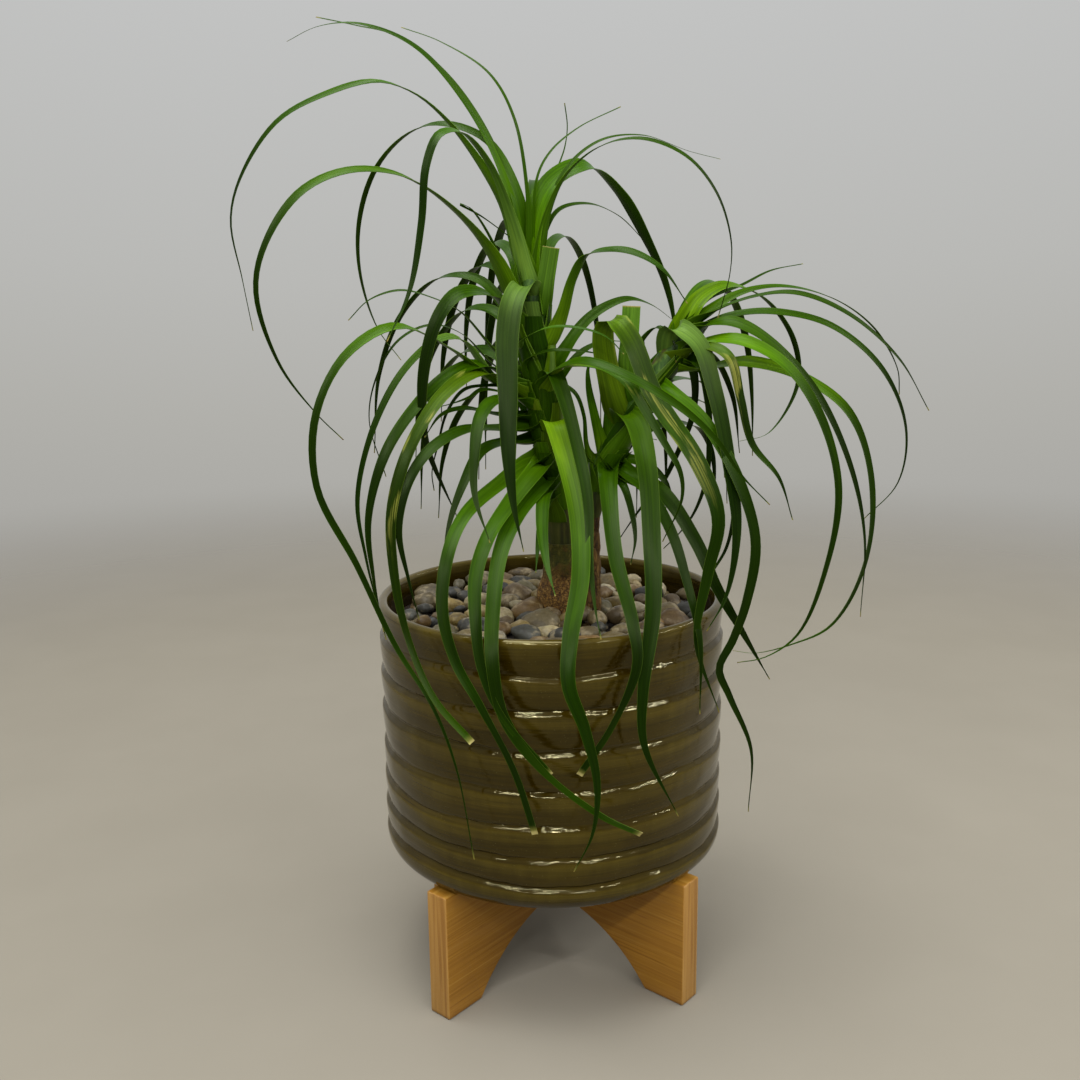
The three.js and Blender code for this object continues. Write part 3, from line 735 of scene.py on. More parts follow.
def makeTrunk(name, stem, node, swollen):
    foot, neck, top = stem["foot"], stem["neck"], stem["top"]
    widest = filling["soilTop"] + 2 * mm
    shoulder, waist = widest + bark["shoulder"], widest + bark["waist"]
    shape = [(stems["foot"], 0.8), (widest, 1.0), (shoulder, 0.97), (waist, 1.15 * neck / foot),
             (top - 5 * mm, neck / foot), (top, neck / foot)]

    def radiusAt(height):
        for (low, first), (high, second) in zip(shape, shape[1:]):
            if height <= high:
                return foot * between(first, second, eased(height, low, high))
        return foot * shape[-1][1]

    heights = [between(stems["foot"], top, ring / bark["rings"]) for ring in range(bark["rings"] + 1)]
    profile = [(0, stems["foot"])] + [(radiusAt(height), height) for height in heights] + [(0, top)]
    piece = turnedPiece(name, profile, bark["steps"][name])
    limit = foot + bark["mostGrowth"]

    def gnarled(co):
        radius = math.hypot(co.x, co.y)
        if radius < 0.5 * mm:
            return co
        spot = Vector((co.x, co.y, co.z * 0.6)) * (75 if swollen else 240)
        knob = bark["knobs"] * noise.noise(spot) + 0.5 * bark["knobs"] * noise.noise(spot * 2.6)
        grown = min(limit, radius + knob * (1 if swollen else 0.7))
        return Vector((co.x * grown / radius, co.y * grown / radius, co.z))

    moveVertices(piece, gnarled)
    smooth(piece, 60)
    x, y = stem["place"]
    settle(piece, (potAxis.x + x * mm, potAxis.y + y * mm, 0))
    finished(piece, barkFinish(name + " bark", swollen), "bark", node)


makeTrunk("caudex", stems["tall"], "trunk_tall", True)
makeTrunk("thinCane", stems["thin"], "trunk_thin", False)


# the leaves. Each has the height at which it leaves its stem, the way it turns in degrees (0 is towards +X,
# 90 towards +Y), its widths [at its root, along its middle] with the end's width after them where it was
# trimmed, and its route as [reach, rise] or [reach, rise, sway] from its root, in mm. A higher taper makes
# it narrow later towards its tip.
def leaf(at, turn, widths, route, look="deep", taper=3):
    root, middle, end = (widths + [None])[:3]
    return {"at": at, "turn": turn, "root": root, "middle": middle, "end": end, "route": route,
            "look": look, "taper": taper}


tallLeaves = [
    # the crown: long leaves that arch over to the left
    leaf(396, 176, [13, 4], [[6, 25], [15, 68], [36, 108], [62, 136], [92, 148], [115, 147],
         [132, 140]], "fresh"),
    leaf(392, 166, [9, 3.2], [[7, 36], [19, 83], [44, 123], [75, 148], [99, 155], [123, 161]]),
    leaf(396, 185, [13, 4.4], [[5, 20], [16, 55], [42, 93], [62, 110], [82, 116], [108, 110], [135, 96],
         [156, 68], [163, 45], [159, 14], [155, -14]], "fresh"),
    leaf(378, 205, [13, 5.6], [[10, 15], [24, 42], [46, 66], [75, 83], [102, 85], [128, 74], [147, 50],
         [154, 25], [145, -11], [127, -38], [113, -53]], "limeEdge"),
    leaf(392, 160, [12, 4.8], [[3, 25], [8, 60], [22, 88], [40, 99], [60, 102], [79, 95], [97, 78],
         [108, 51], [109, 22], [99, -10], [84, -29]]),
    leaf(388, 222, [12, 4.6], [[6, 25], [15, 52], [30, 80], [48, 94], [62, 92], [71, 76], [75, 48],
         [84, 14], [99, -11]], "sagePaintedSheen", taper=7),
    leaf(398, 152, [6, 2.2], [[1, 30], [2, 58], [9, 95], [24, 120], [55, 140], [82, 151]]),
    leaf(384, 200, [5, 2.4], [[13, 13], [23, 43], [36, 62], [42, 64], [30, 58], [12, 46]]),
    leaf(370, 211, [14, 9], [[10, 12], [24, 27], [38, 32], [50, 30], [61, 18], [69, -4], [72, -26],
         [70, -50], [52, -94]]),
    # the crown: leaves that arch over to the right
    leaf(388, 22, [17, 12], [[-2, 25, 2], [2, 55, 1], [13, 74, 1], [33, 82], [53, 68], [71, 42], [84, 16],
         [88, -7, -3], [86, -26, -5]], "fresh"),
    leaf(392, 352, [9, 2.8], [[3, 25], [10, 54], [20, 72], [39, 86], [61, 89], [85, 79], [101, 60],
         [109, 36], [109, 18], [103, -6]]),
    leaf(392, 14, [5, 2.2], [[6, 30], [16, 70], [38, 90], [64, 94], [92, 86], [111, 82]]),
    leaf(396, 44, [5, 1.8], [[8, 30], [20, 70], [27, 85], [29, 96], [27, 108]], "fresh"),
    leaf(396, 28, [5, 1.8], [[1, 30], [4, 66], [12, 80], [30, 94], [58, 107]]),
    leaf(388, 30, [7, 3.2], [[3, 22], [8, 45], [17, 58], [36, 62], [57, 56], [78, 40]]),
    leaf(366, 335, [12, 6.8], [[9, 8], [16, 24], [22, 42], [30, 54], [44, 57], [58, 55], [74, 46],
         [88, 28]], "lime"),
    leaf(382, 270, [12, 10, 9.5], [[4, 9, 4], [7, 26, 7], [9, 43, 10]], "trimmed"),
    # the crown: leaves that arch away to the far side
    leaf(394, 88, [10, 6.5], [[8, 34], [24, 62], [48, 72], [76, 62], [100, 34], [116, -4], [122, -44]]),
    leaf(390, 106, [10, 6], [[10, 26], [30, 48], [56, 54], [84, 40], [108, 8], [120, -36], [124, -80]]),
    leaf(386, 68, [9, 5.5], [[8, 20], [26, 42], [50, 48], [78, 36], [100, 8], [112, -30], [114, -70]]),
    leaf(372, 120, [12, 7.5], [[10, 22], [28, 52], [52, 58], [76, 40], [90, 8], [92, -30]]),
    # the left side of the shoot
    leaf(352, 186, [6, 3], [[12, 6], [25, 16], [45, 39], [61, 47], [78, 51], [95, 46], [107, 35]]),
    leaf(346, 213, [10, 5], [[14, 2, -4], [27, 6, -9], [53, 25, -10], [84, 38, -13], [112, 24, -16],
         [131, -7, -15], [134, -44, -11], [121, -84, 6], [109, -126, 24], [99, -156, 46], [94, -186, 60],
         [90, -234, 69]], "fresh"),
    leaf(350, 190, [4, 1.8], [[12, 4], [27, 11], [45, 29], [62, 34], [80, 26], [93, 6], [98, -18],
         [90, -50]]),
    leaf(346, 205, [8, 4.6], [[12, 2, -3], [27, 8, -6], [46, 30, -7], [58, 31, -6], [79, 16, -5],
         [98, -14, -5], [110, -54, -3], [109, -85, 5], [104, -128, 20]], "sagePaintedSheen"),
    leaf(340, 220, [11, 7.5], [[14, 10, -6], [34, 22, -13], [53, 18, -15], [73, 4, -17], [96, -23, -18],
         [108, -57, -18], [110, -88, -12], [110, -116, -4]]),
    leaf(336, 231, [11, 7.5, 3.4], [[14, 10, -8], [33, 22, -17], [61, 13, -19], [88, -14, -20],
         [102, -46, -21], [107, -77, -16], [109, -109, -6], [111, -139, 14],
         [106, -160, 36]], "striped"),
    leaf(330, 235, [12, 7.5], [[14, -4, -6], [31, -3, -12], [56, -2, -17], [79, -11, -21], [93, -27, -24],
         [101, -50, -24], [102, -74, -18], [101, -97, -12]]),
    leaf(328, 222, [8, 5.5], [[12, 4, -5], [28, 6, -10], [50, 11, -13], [65, 8, -14], [76, -3, -14]]),
    leaf(336, 196, [6, 3], [[14, 6], [36, 12], [44, 8], [53, 5], [62, 3]]),
    leaf(340, 211, [5, 2.4], [[16, 8, -6], [34, 10, -11], [46, 8, -11], [57, -4, -10], [63, -20, -9],
         [68, -36, -8], [68, -46, -6]]),
    leaf(330, 243, [10, 8], [[16, 12, -8], [35, 13, -14], [50, 6, -14], [64, -11, -10], [75, -33, -4],
         [81, -56, 8]]),
    leaf(320, 228, [9, 7], [[14, -2, -5], [29, -1, -8], [50, -4, -5], [68, -20, -1], [80, -38, 1],
         [90, -58, 5]]),
    # the front of the shoot: leaves that hang over the pot
    leaf(390, 263, [12, 13], [[5, 10], [14, 15, -3], [24, 8, -7], [36, -11, -9], [51, -46, -7],
         [59, -71, -6], [65, -97, -3], [71, -122, 3]], "sagePaintedSheen"),
    leaf(318, 280, [13, 10.5], [[12, 8], [25, 13, -1], [37, -2, 2], [64, -31, 4], [89, -60], [107, -86, -9],
         [117, -107, -12], [122, -129, -5], [123, -158, 1], [121, -186, -1],
         [117, -208, -10]], "lime"),
    leaf(342, 285, [10, 7.5], [[10, 12], [19, 16, 1], [29, 3, 4], [47, -22, 6], [66, -48, 6], [83, -77, 2],
         [99, -100, 0], [108, -112, 0]]),
    leaf(312, 240, [11, 7.5, 3.4], [[9, -3], [22, -5, -3], [41, -13, -7], [75, -26, -9], [96, -43, -6],
         [108, -69, -2], [112, -94, 8], [112, -116, 23], [106, -149, 38], [101, -184, 47]], "fresh"),
    leaf(306, 250, [12, 8.5, 3.4], [[8, 0], [20, 0, 1], [46, -14, -5], [74, -31, -9], [91, -48, -9],
         [104, -68, -4], [111, -91, 2], [113, -112, 12], [108, -144, 37]], "fresh"),
    leaf(296, 262, [12, 8.5, 3.4], [[8, 2], [18, 0, -3], [49, -14, -14], [71, -30, -19], [94, -54, -19],
         [109, -76, -17], [113, -104, -11], [114, -131, 8], [111, -156, 38], [105, -168, 58]]),
    leaf(292, 278, [11, 8], [[10, 0, -3], [29, -2, -10], [50, -15, -14], [72, -29, -15],
         [90, -43, -13]], "fresh"),
    leaf(280, 255, [8, 6], [[8, 6], [22, 4, -1], [45, -14, 1], [58, -27, 3]], "lime"),
    # the right side of the shoot
    leaf(366, 325, [5, 2.6], [[-3, 6, -10], [4, 10, -18], [19, 16, -17], [36, 16, -13], [51, 11, -8],
         [60, 2, -5]], "sagePaintedSheen"),
    leaf(348, 345, [6, 3], [[-6, 8, -8], [-6, 15, -12], [6, 21, -12], [25, 21, -10], [40, 18, -6]]),
    leaf(340, 335, [9, 5.5], [[4, 10, -7], [13, 18, -16], [37, 25, -29], [63, 18, -33], [89, 2, -25],
         [107, -16, -16], [118, -35, -7], [131, -52, 4]]),
    leaf(334, 318, [10, 6.5], [[10, 16, -6], [24, 27, -11], [49, 28, -10], [67, 20, -10], [78, 6, -9],
         [88, -10, -6], [96, -26, -2], [97, -40, -2], [88, -63, -6]], "patched"),
    leaf(345, 15, [11, 7], [[12, 22], [25, 39], [38, 48], [52, 52], [66, 48], [78, 40]]),
    leaf(345, 25, [8, 5], [[13, 21, 3], [24, 33, 4], [34, 40, 4], [40, 35, 3]]),
    leaf(338, 10, [8, 5], [[10, 15, 2], [22, 29, 4], [35, 35, 4], [47, 35, 4]]),
]

leaningLeaves = [
    # the crown: leaves that arch over to the right
    leaf(372, 22, [12, 4.5], [[4, 10], [14, 25], [31, 32], [56, 24], [77, 0], [81, -26], [62, -54],
         [42, -58]], "lime"),
    leaf(374, 348, [8, 3.4], [[5, 6], [14, 13], [39, 23], [63, 25], [92, 13], [119, -11], [136, -39]]),
    leaf(376, 8, [7, 3], [[6, 6], [29, 22], [54, 27], [87, 20], [113, 3], [129, -21],
         [131, -36]], "fresh"),
    leaf(376, 30, [6, 2.2], [[5, 8], [15, 19], [42, 28], [63, 36], [88, 40]]),
    leaf(370, 356, [9, 4], [[5, 5], [14, 11], [30, 17], [54, 19], [86, 11], [115, -13], [130, -47],
         [127, -78], [109, -99]]),
    leaf(362, 328, [10, 5.6], [[8, 5, 1], [20, 11, 3], [44, 12, 3], [68, -1, 7], [87, -28, 10],
         [98, -67, 12], [94, -112, 8], [82, -149, 1], [67, -162, -8], [55, -164, -19]], "fresh"),
    leaf(368, 336, [9, 5], [[7, 7], [17, 13], [33, 16], [55, 5, 1], [80, -22, 4], [99, -60, 6],
         [109, -101, 6], [109, -146, 5]]),
    leaf(356, 346, [10, 5.4], [[10, 2], [23, 2], [48, 6], [78, -2, 2], [104, -21, 6], [118, -57, 7],
         [117, -108, 6], [100, -144, 3], [79, -155, -2], [58, -160, -8], [46, -158, -12]], "limeEdge"),
    leaf(360, 315, [9, 6], [[12, 6, 1], [27, 11, 4], [42, 5, 4], [50, -17, 4], [57, -41, 6], [70, -59, 13],
         [77, -82, 17]], "patched"),
    leaf(366, 312, [12, 9.5], [[3, 8, -4], [9, 15, -7], [22, 7, -3], [35, -18, -4], [47, -56, -5],
         [56, -94, -8], [58, -127, -18], [55, -145, -30]], "sagePaintedSheen"),
    leaf(374, 58, [10, 6], [[6, 10], [22, 26], [46, 32], [74, 22], [98, -4], [110, -40], [114, -80]]),
    # the middle of the shoot
    leaf(326, 306, [14, 11.5], [[0, 14, -7], [2, 37, -16], [5, 54, -20], [10, 60, -18], [21, 50, -15],
         [36, 20, -11], [60, -14, -1], [73, -43, 2], [73, -72, -5], [74, -106, -13],
         [76, -150, 3]], "patched"),
    leaf(346, 330, [9, 7], [[6, 4, -4], [14, 2, -9], [37, -14, -10], [57, -42, -11], [70, -78, -12],
         [68, -111, -18], [63, -132, -24], [57, -148, -28], [61, -165, -22], [70, -200, -9],
         [68, -240, -5]]),
    leaf(325, 290, [13, 10.5], [[6, 8, -4], [12, 10, -6], [22, 7, -4], [44, -15, -7], [66, -51, -14],
         [81, -84, -20], [93, -124, -31], [97, -149, -32], [101, -190, -14]], "fresh"),
    leaf(330, 80, [11, 6.5], [[12, 26], [32, 44], [56, 40], [78, 14], [88, -20], [92, -60]]),
    leaf(338, 40, [11, 6.5], [[14, 22], [36, 34], [60, 26], [80, 0], [88, -36]]),
    leaf(336, 270, [13, 10.5, 10], [[7, 25, -6], [9, 39, -5], [10, 57, -4]], "trimmed"),
    leaf(362, 300, [7, 4], [[1, 6, 13], [-1, -7, 20], [-3, -20, 23], [-5, -35, 22], [-7, -52, 15],
         [-9, -72, 4], [-11, -85, -9], [-16, -108, -25]]),
    leaf(358, 310, [7, 4], [[17, 4, 10], [24, -17, 12], [26, -42, 12], [25, -62, 11], [20, -80, 8],
         [12, -93, 5], [3, -104]]),
    leaf(356, 325, [7, 4], [[22, 4, 8], [37, -20, 4], [46, -47], [49, -74, -2], [47, -95, -6],
         [43, -109, -16], [49, -120, -39]]),
    leaf(336, 330, [7, 5], [[-3, 21, -1], [2, 38, 2], [10, 45, 6], [18, 39, 7], [22, 26, 4]]),
    # the low crown
    leaf(306, 275, [11, 8.5, 3.4], [[8, -1], [17, -3, -2], [38, -18, -4], [63, -43, -4], [86, -71, 1],
         [94, -90, 2], [97, -121, -11], [97, -147, -28]]),
    leaf(308, 300, [10, 6.5], [[5, -3], [12, -4, -1], [28, -13, 5], [50, -34, 7], [66, -61, 7],
         [80, -88, 5], [85, -127, 2]]),
    leaf(306, 330, [11, 8.5], [[6, -2, -4], [15, -5, -7], [37, -14, -6], [57, -39, -6], [70, -63, -7],
         [81, -90, 5], [93, -121, 20]]),
    leaf(304, 150, [9, 6], [[2, 12, 2], [4, 27, 5], [6, 46, 9], [4, 57, 12], [-3, 60, 14]], "lime"),
    leaf(306, 70, [8, 6], [[2, 14], [3, 29], [5, 48], [3, 56, -4]], "fresh"),
    leaf(302, 160, [5, 3, 2.4], [[10, 10], [13, 30, -2], [18, 42, -3], [26, 48, -3]], "lime"),
    leaf(303, 5, [5, 3], [[5, 6], [11, 12], [19, 17], [30, 15]], "lime"),
    leaf(298, 320, [7, 4.5], [[8, 2, -3], [19, -2, -7], [29, -16, -12], [35, -30, -17], [37, -42, -24]]),
    leaf(303, 345, [8, 6], [[5, 4], [12, 5, -2], [24, 3, -3], [35, -6, -4], [41, -20, -5]]),
    leaf(300, 200, [7, 5], [[4, 1, -2], [8, 8, -7], [12, 17, -12], [14, 20, -14]], "fresh"),
]

# leaves of the far side: they climb the stem by the golden angle within a fan of turns
farLeaves = {
    "arch": [[14, 20], [34, 44], [58, 46], [82, 24], [97, -12], [102, -56]],
    "slimness": 0.65,
    "size": (0.9, 1.35),
    "sway": 20,
    "tall": {"count": 11, "from": 300, "to": 384, "middle": 122, "spread": 72, "lift": 0.9,
             "width": (8, 12), "seed": 11},
    "leaning": {"count": 5, "from": 312, "to": 336, "middle": 60, "spread": 44, "lift": 0.3,
                "width": (7.2, 10.8), "seed": 5},
}

shoots = {
    "tall": {"line": [[7, 0, 258], [3, 0, 290], [-2, 0, 335], [-7, 0, 375], [-10, 0, 412]],
             "radii": (9, 8), "leaves": tallLeaves},
    "leaning": {"line": [[25, -12, 275], [32, -9, 304], [45, -6, 328], [63, -2, 356], [80, 1, 382]],
                "radii": (4, 8), "leaves": leaningLeaves},
}

strap = {
    "rows": 64,
    "columns": 6,
    "thickness": 0.5 * mm,
    "tipSlimness": 1.3,
    "narrowedBy": 0.36,      # the part of its length by which it has narrowed to its middle width
    "tipWidth": 0.6,         # in mm
    "lightTurn": 0.6,        # how far a leaf twists to show its face to the light
    "channel": 0.17,         # depth of the channel along a leaf, in half widths
    "flare": 0.45,           # how much wider it grows where it clasps the stem
    "clasp": 0.75,           # how much more it folds there
    "claspLength": 34,       # in mm
    "ripple": 0.3,           # in mm
    "twist": 9,              # degrees
    "roll": 42,              # degrees by which a leaf that runs across the view shows its face to the front
    "tone": (0.48, 0.80),    # how bright a leaf is, next to its look's colours
    "hangingShadeTone": 0.27,     # how much of that tone is left where it hangs straight down, as painted shade
}

sheath = {
    "rows": 8,
    "columns": 8,
    "length": 30,            # how far down the stem a leaf's foot reaches, in mm
    "lean": 3.0,             # how far its top leans out
    "wrap": 1.75,            # its width, in widths of the leaf's root
    "widest": 13,            # the widest root that counts for it, in mm
    # darker than the blades' tones, as painted shade among the leaf bases
    "tone": (0.30, 0.58),
}

core = {"rings": 60, "sides": 32}

leafLooks = {  # colours at the root, the middle and the tip, and how much of the leaf is striped; the darker tip colours are partly painted shade where the leaves hang away from the light
    "deep": {"root": "#3c6400", "middle": "#2e5000", "tip": "#2a4a00", "stripes": 0},
    "fresh": {"root": "#527e04", "middle": "#3c6600", "tip": "#305600", "stripes": 0},
    "lime": {"root": "#6a920a", "middle": "#3e6600", "tip": "#2e5400", "stripes": 0},
    "limeEdge": {"root": "#628e04", "middle": "#487200", "tip": "#3a6400", "stripes": 0},
    # a greyer green, partly its own colour and partly a painted sheen of the sky on the upper face
    "sagePaintedSheen": {"root": "#749a40", "middle": "#48701e", "tip": "#2c5204", "stripes": 0},
    "striped": {"root": "#688c08", "middle": "#4c7000", "tip": "#3c6000", "stripes": 0.5},
    "trimmed": {"root": "#2f5a00", "middle": "#4a7412", "tip": "#62902c", "stripes": 0},
    "patched": {"root": "#62800c", "middle": "#426c04", "tip": "#345a00", "stripes": 0.5},
}


def seeded(state):
    # the same small source of numbers from 0 to 1 that sized the far side's leaves in the solid model
    while True:
        state = (state * 16807) % (2 ** 31 - 1)
        yield state / (2 ** 31 - 1)


def fanLeaves(fan):
    chance = seeded(fan["seed"])
    golden = (math.sqrt(5) - 1) / 2
    leaves = []
    for i in range(fan["count"]):
        at = between(fan["from"], fan["to"], i / (fan["count"] - 1))
        turn = fan["middle"] + fan["spread"] * (i * golden % 1 - 0.5)
        size = between(*farLeaves["size"], next(chance))
        sway = between(-farLeaves["sway"], farLeaves["sway"], next(chance))
        route = []
        for reach, rise in farLeaves["arch"]:
            drop = rise * size ** 2 if rise < 0 else rise * size * fan["lift"]
            route.append([reach * size, drop, sway * (reach / 100) ** 2])
        root = between(*fan["width"], next(chance))
        leaves.append(leaf(at, turn, [root, root * farLeaves["slimness"]], route))
    return leaves


def splinePoints(stops, rows):
    # evenly spaced points and directions along the smooth curve through the stops
    stops = [Vector(stop) for stop in stops]
    stops = [2 * stops[0] - stops[1]] + stops + [2 * stops[-1] - stops[-2]]
    fine = []
    for before, first, second, after in zip(stops, stops[1:], stops[2:], stops[3:]):
        spans = ((before, first), (first, second), (second, after))
        a, b, c = [max(1e-4, math.sqrt((end - start).length)) for start, end in spans]
        leave = ((first - before) / a - (second - before) / (a + b) + (second - first) / b) * b
        reach = ((second - first) / b - (after - first) / (b + c) + (after - second) / c) * b
        for step in range(24):
            t = step / 24
            fine.append(first * (2 * t ** 3 - 3 * t ** 2 + 1) + leave * (t ** 3 - 2 * t ** 2 + t)
                        + second * (3 * t ** 2 - 2 * t ** 3) + reach * (t ** 3 - t ** 2))
    fine.append(stops[-2])
    lengths = [0]
    for first, second in zip(fine, fine[1:]):
        lengths.append(lengths[-1] + (second - first).length)
    points = []
    index = 0
    for row in range(rows + 1):
        wanted = lengths[-1] * row / rows
        while index < len(fine) - 2 and lengths[index + 1] < wanted:
            index += 1
        part = (wanted - lengths[index]) / (lengths[index + 1] - lengths[index])
        points.append(fine[index].lerp(fine[index + 1], min(1, part)))
    ways = [(points[min(i + 1, rows)] - points[max(i - 1, 0)]).normalized() for i in range(rows + 1)]
    return points, ways, lengths[-1]


def rootAt(line, height):
    # the point of a shoot's middle line at a height
    for low, high in zip(line, line[1:]):
        if high[2] >= height:
            return Vector(low).lerp(Vector(high), (height - low[2]) / (high[2] - low[2]))


def coreRadius(shoot, height):
    low, high = shoot["line"][0][2], shoot["line"][-1][2]
    first, last = shoot["radii"]
    return between(first, last, min(1, 3 * (height - low) / (high - low)))


def gridTemplate(name, rows, columns, thickness):
    # a flat strip, one unit long and one wide but of its real thickness, to copy leaves and feet from
    deselectAll()
    bpy.ops.mesh.primitive_grid_add(x_subdivisions=rows, y_subdivisions=columns, size=1,
                                    location=(0.5, 0, 0), calc_uvs=True)
    bpy.ops.object.transform_apply(location=True)
    piece = named(name)
    piece.data.uv_layers[0].name = "strap"
    modify(piece, "SOLIDIFY", thickness=thickness, offset=0)
    smooth(piece, 60)
    return piece


def leafPaint(look, along, under, tone):
    # a leaf's colour at a place along it: its own colour, growing darker towards the tip partly as painted
    # shade
    root, middle, tip = (colour(look[key]) for key in ("root", "middle", "tip"))
    paint = blended(root, middle, eased(along, 0.02, 0.42))
    paint = blended(paint, tip, eased(along, 0.34, 0.64))
    if under:
        paint = blended(paint, colour("#5e8420"), 0.12)
    paint = [part * tone for part in paint]
    stripes = look["stripes"] * eased(along, 0.08, 0.2) * (1 - eased(along, 0.45, 0.65))
    return paint[:3] + [stripes]


def bladeWidth(blade, along):
    # broad where it clasps the stem, then a strap, then a long tip
    width = between(blade["root"], blade["middle"], eased(along, 0, strap["narrowedBy"]))
    width *= (1 - along ** blade["taper"]) ** strap["tipSlimness"]
    return max(width, blade["end"] or strap["tipWidth"])


def copied(template, places, paints, spots, length, width):
    # a copy of a strip with its vertices, its paint and its map set for one leaf
    piece = template.copy()
    piece.data = template.data.copy()
    bpy.context.scene.collection.objects.link(piece)
    flat = [part for place in places for part in place * mm + potAxis]
    piece.data.vertices.foreach_set("co", np.asarray(flat, dtype=np.float32))
    pointColours(piece, "paint", paints)
    pointColours(piece, "place", spots)
    # the map is in metres, so that fibres keep their size on every leaf
    layer = piece.data.uv_layers["strap"]
    uvs = np.empty(len(piece.data.loops) * 2, dtype=np.float32)
    layer.data.foreach_get("uv", uvs)
    uvs = uvs.reshape(-1, 2)
    uvs[:, 0] *= length * mm
    uvs[:, 1] = (uvs[:, 1] - 0.5) * width * mm
    layer.data.foreach_set("uv", uvs.ravel())
    return piece


def layLeaf(template, line, blade, chance):
    # lays a copy of the strap along its route
    rows = strap["rows"]
    root = rootAt(line, blade["at"])
    turn = math.radians(blade["turn"])
    outward = Vector((math.cos(turn), math.sin(turn), 0))
    sideways = Vector((-math.sin(turn), math.cos(turn), 0))
    stops = [root]
    for stop in blade["route"]:
        reach, rise, sway = (stop + [0])[:3]
        stops.append(root + outward * reach + sideways * sway + Vector((0, 0, rise)))
    points, ways, length = splinePoints(stops, rows)
    # how far its turn is from straight at the viewer, or straight away, between -90 and 90
    fromFront = (((blade["turn"] + 90) % 180) + 270) % 180 - 90
    flatTurn = math.radians(blade["turn"] + 90 - strap["lightTurn"] * fromFront)
    flat = Vector((math.cos(flatTurn), math.sin(flatTurn), 0))
    twist = math.radians(eitherWay(strap["twist"], chance))
    wave = chance.random() * 10
    look = leafLooks[blade["look"]]
    tone = between(*strap["tone"], chance.random())
    paleness = chance.random()
    frames = []
    for row, (point, way) in enumerate(zip(points, ways)):
        along = row / rows
        across = (flat - way * flat.dot(way)).normalized()
        roll = math.radians(strap["roll"]) * math.cos(turn) * (1 - way.z ** 2) * eased(along, 0, 0.15)
        across = Matrix.Rotation(roll + twist * eased(along, 0.15, 1), 3, way) @ across
        near = 1 - eased(along * length, 4, strap["claspLength"])
        # a leaf is painted darker where it hangs straight down: painted shade, as less light falls on it
        # from above
        paintedHangShade = eased(-way.z, 0.5, 0.95) * eased(along, 0.08, 0.28)
        shade = tone * between(1, strap["hangingShadeTone"], paintedHangShade)
        frames.append((point, across, way.cross(across), bladeWidth(blade, along) / 2, along, near, shade))
    places, paints, spots = [], [], []
    for vertex in template.data.vertices:
        x, y, z = vertex.co
        point, across, upper, half, along, near, shade = frames[round(x * rows)]
        side = y * 2
        wide = half * (1 + strap["flare"] * near)
        lift = wide * (strap["channel"] + strap["clasp"] * near) * (side * side - 0.35)
        flutter = math.sin(along * length * 0.11 + wave + (2.1 if side > 0 else 0)) * min(1, half / 5)
        lift += strap["ripple"] * abs(side) ** 3 * flutter
        thick = z / mm * (1 - 0.45 * abs(side)) * min(1, 0.4 + half / 4)
        width = side * wide * (1 - 0.22 * near * side * side)
        places.append(point + across * width + upper * (lift + thick))
        paints.append(leafPaint(look, along, z < 0, shade))
        spots.append((side * 0.5 + 0.5, along, paleness, 1 if blade["end"] else 0))
    return copied(template, places, paints, spots, length, blade["root"])


def layFoot(template, shoot, blade, chance):
    # the foot of a leaf wraps the stem below it and leans out under the blade
    line = shoot["line"]
    turn = math.radians(blade["turn"])
    low = max(blade["at"] - sheath["length"], between(line[0][2], blade["at"], 0.6))
    high = min(blade["at"] + 6, line[-1][2] - 1)
    look = leafLooks[blade["look"]]
    tone = between(*sheath["tone"], chance.random())
    paleness = chance.random()
    places, paints, spots = [], [], []
    for vertex in template.data.vertices:
        x, y, z = vertex.co
        height = between(low, high, x)
        radius = coreRadius(shoot, height) + between(0.2, sheath["lean"], x * x) + z / mm
        width = min(blade["root"], sheath["widest"]) * between(sheath["wrap"], 0.85, eased(x, 0.2, 1))
        around = turn + width * y / radius
        places.append(rootAt(line, height) + Vector((math.cos(around), math.sin(around), 0)) * radius)
        # the foot is painted darker towards its low end, as painted shade under the crown
        paints.append(leafPaint(look, 0.12, z < 0, tone * between(0.75, 1, x)))
        spots.append((y + 0.5, 0.1, paleness, 0))
    return copied(template, places, paints, spots, high - low, blade["root"] * sheath["wrap"])


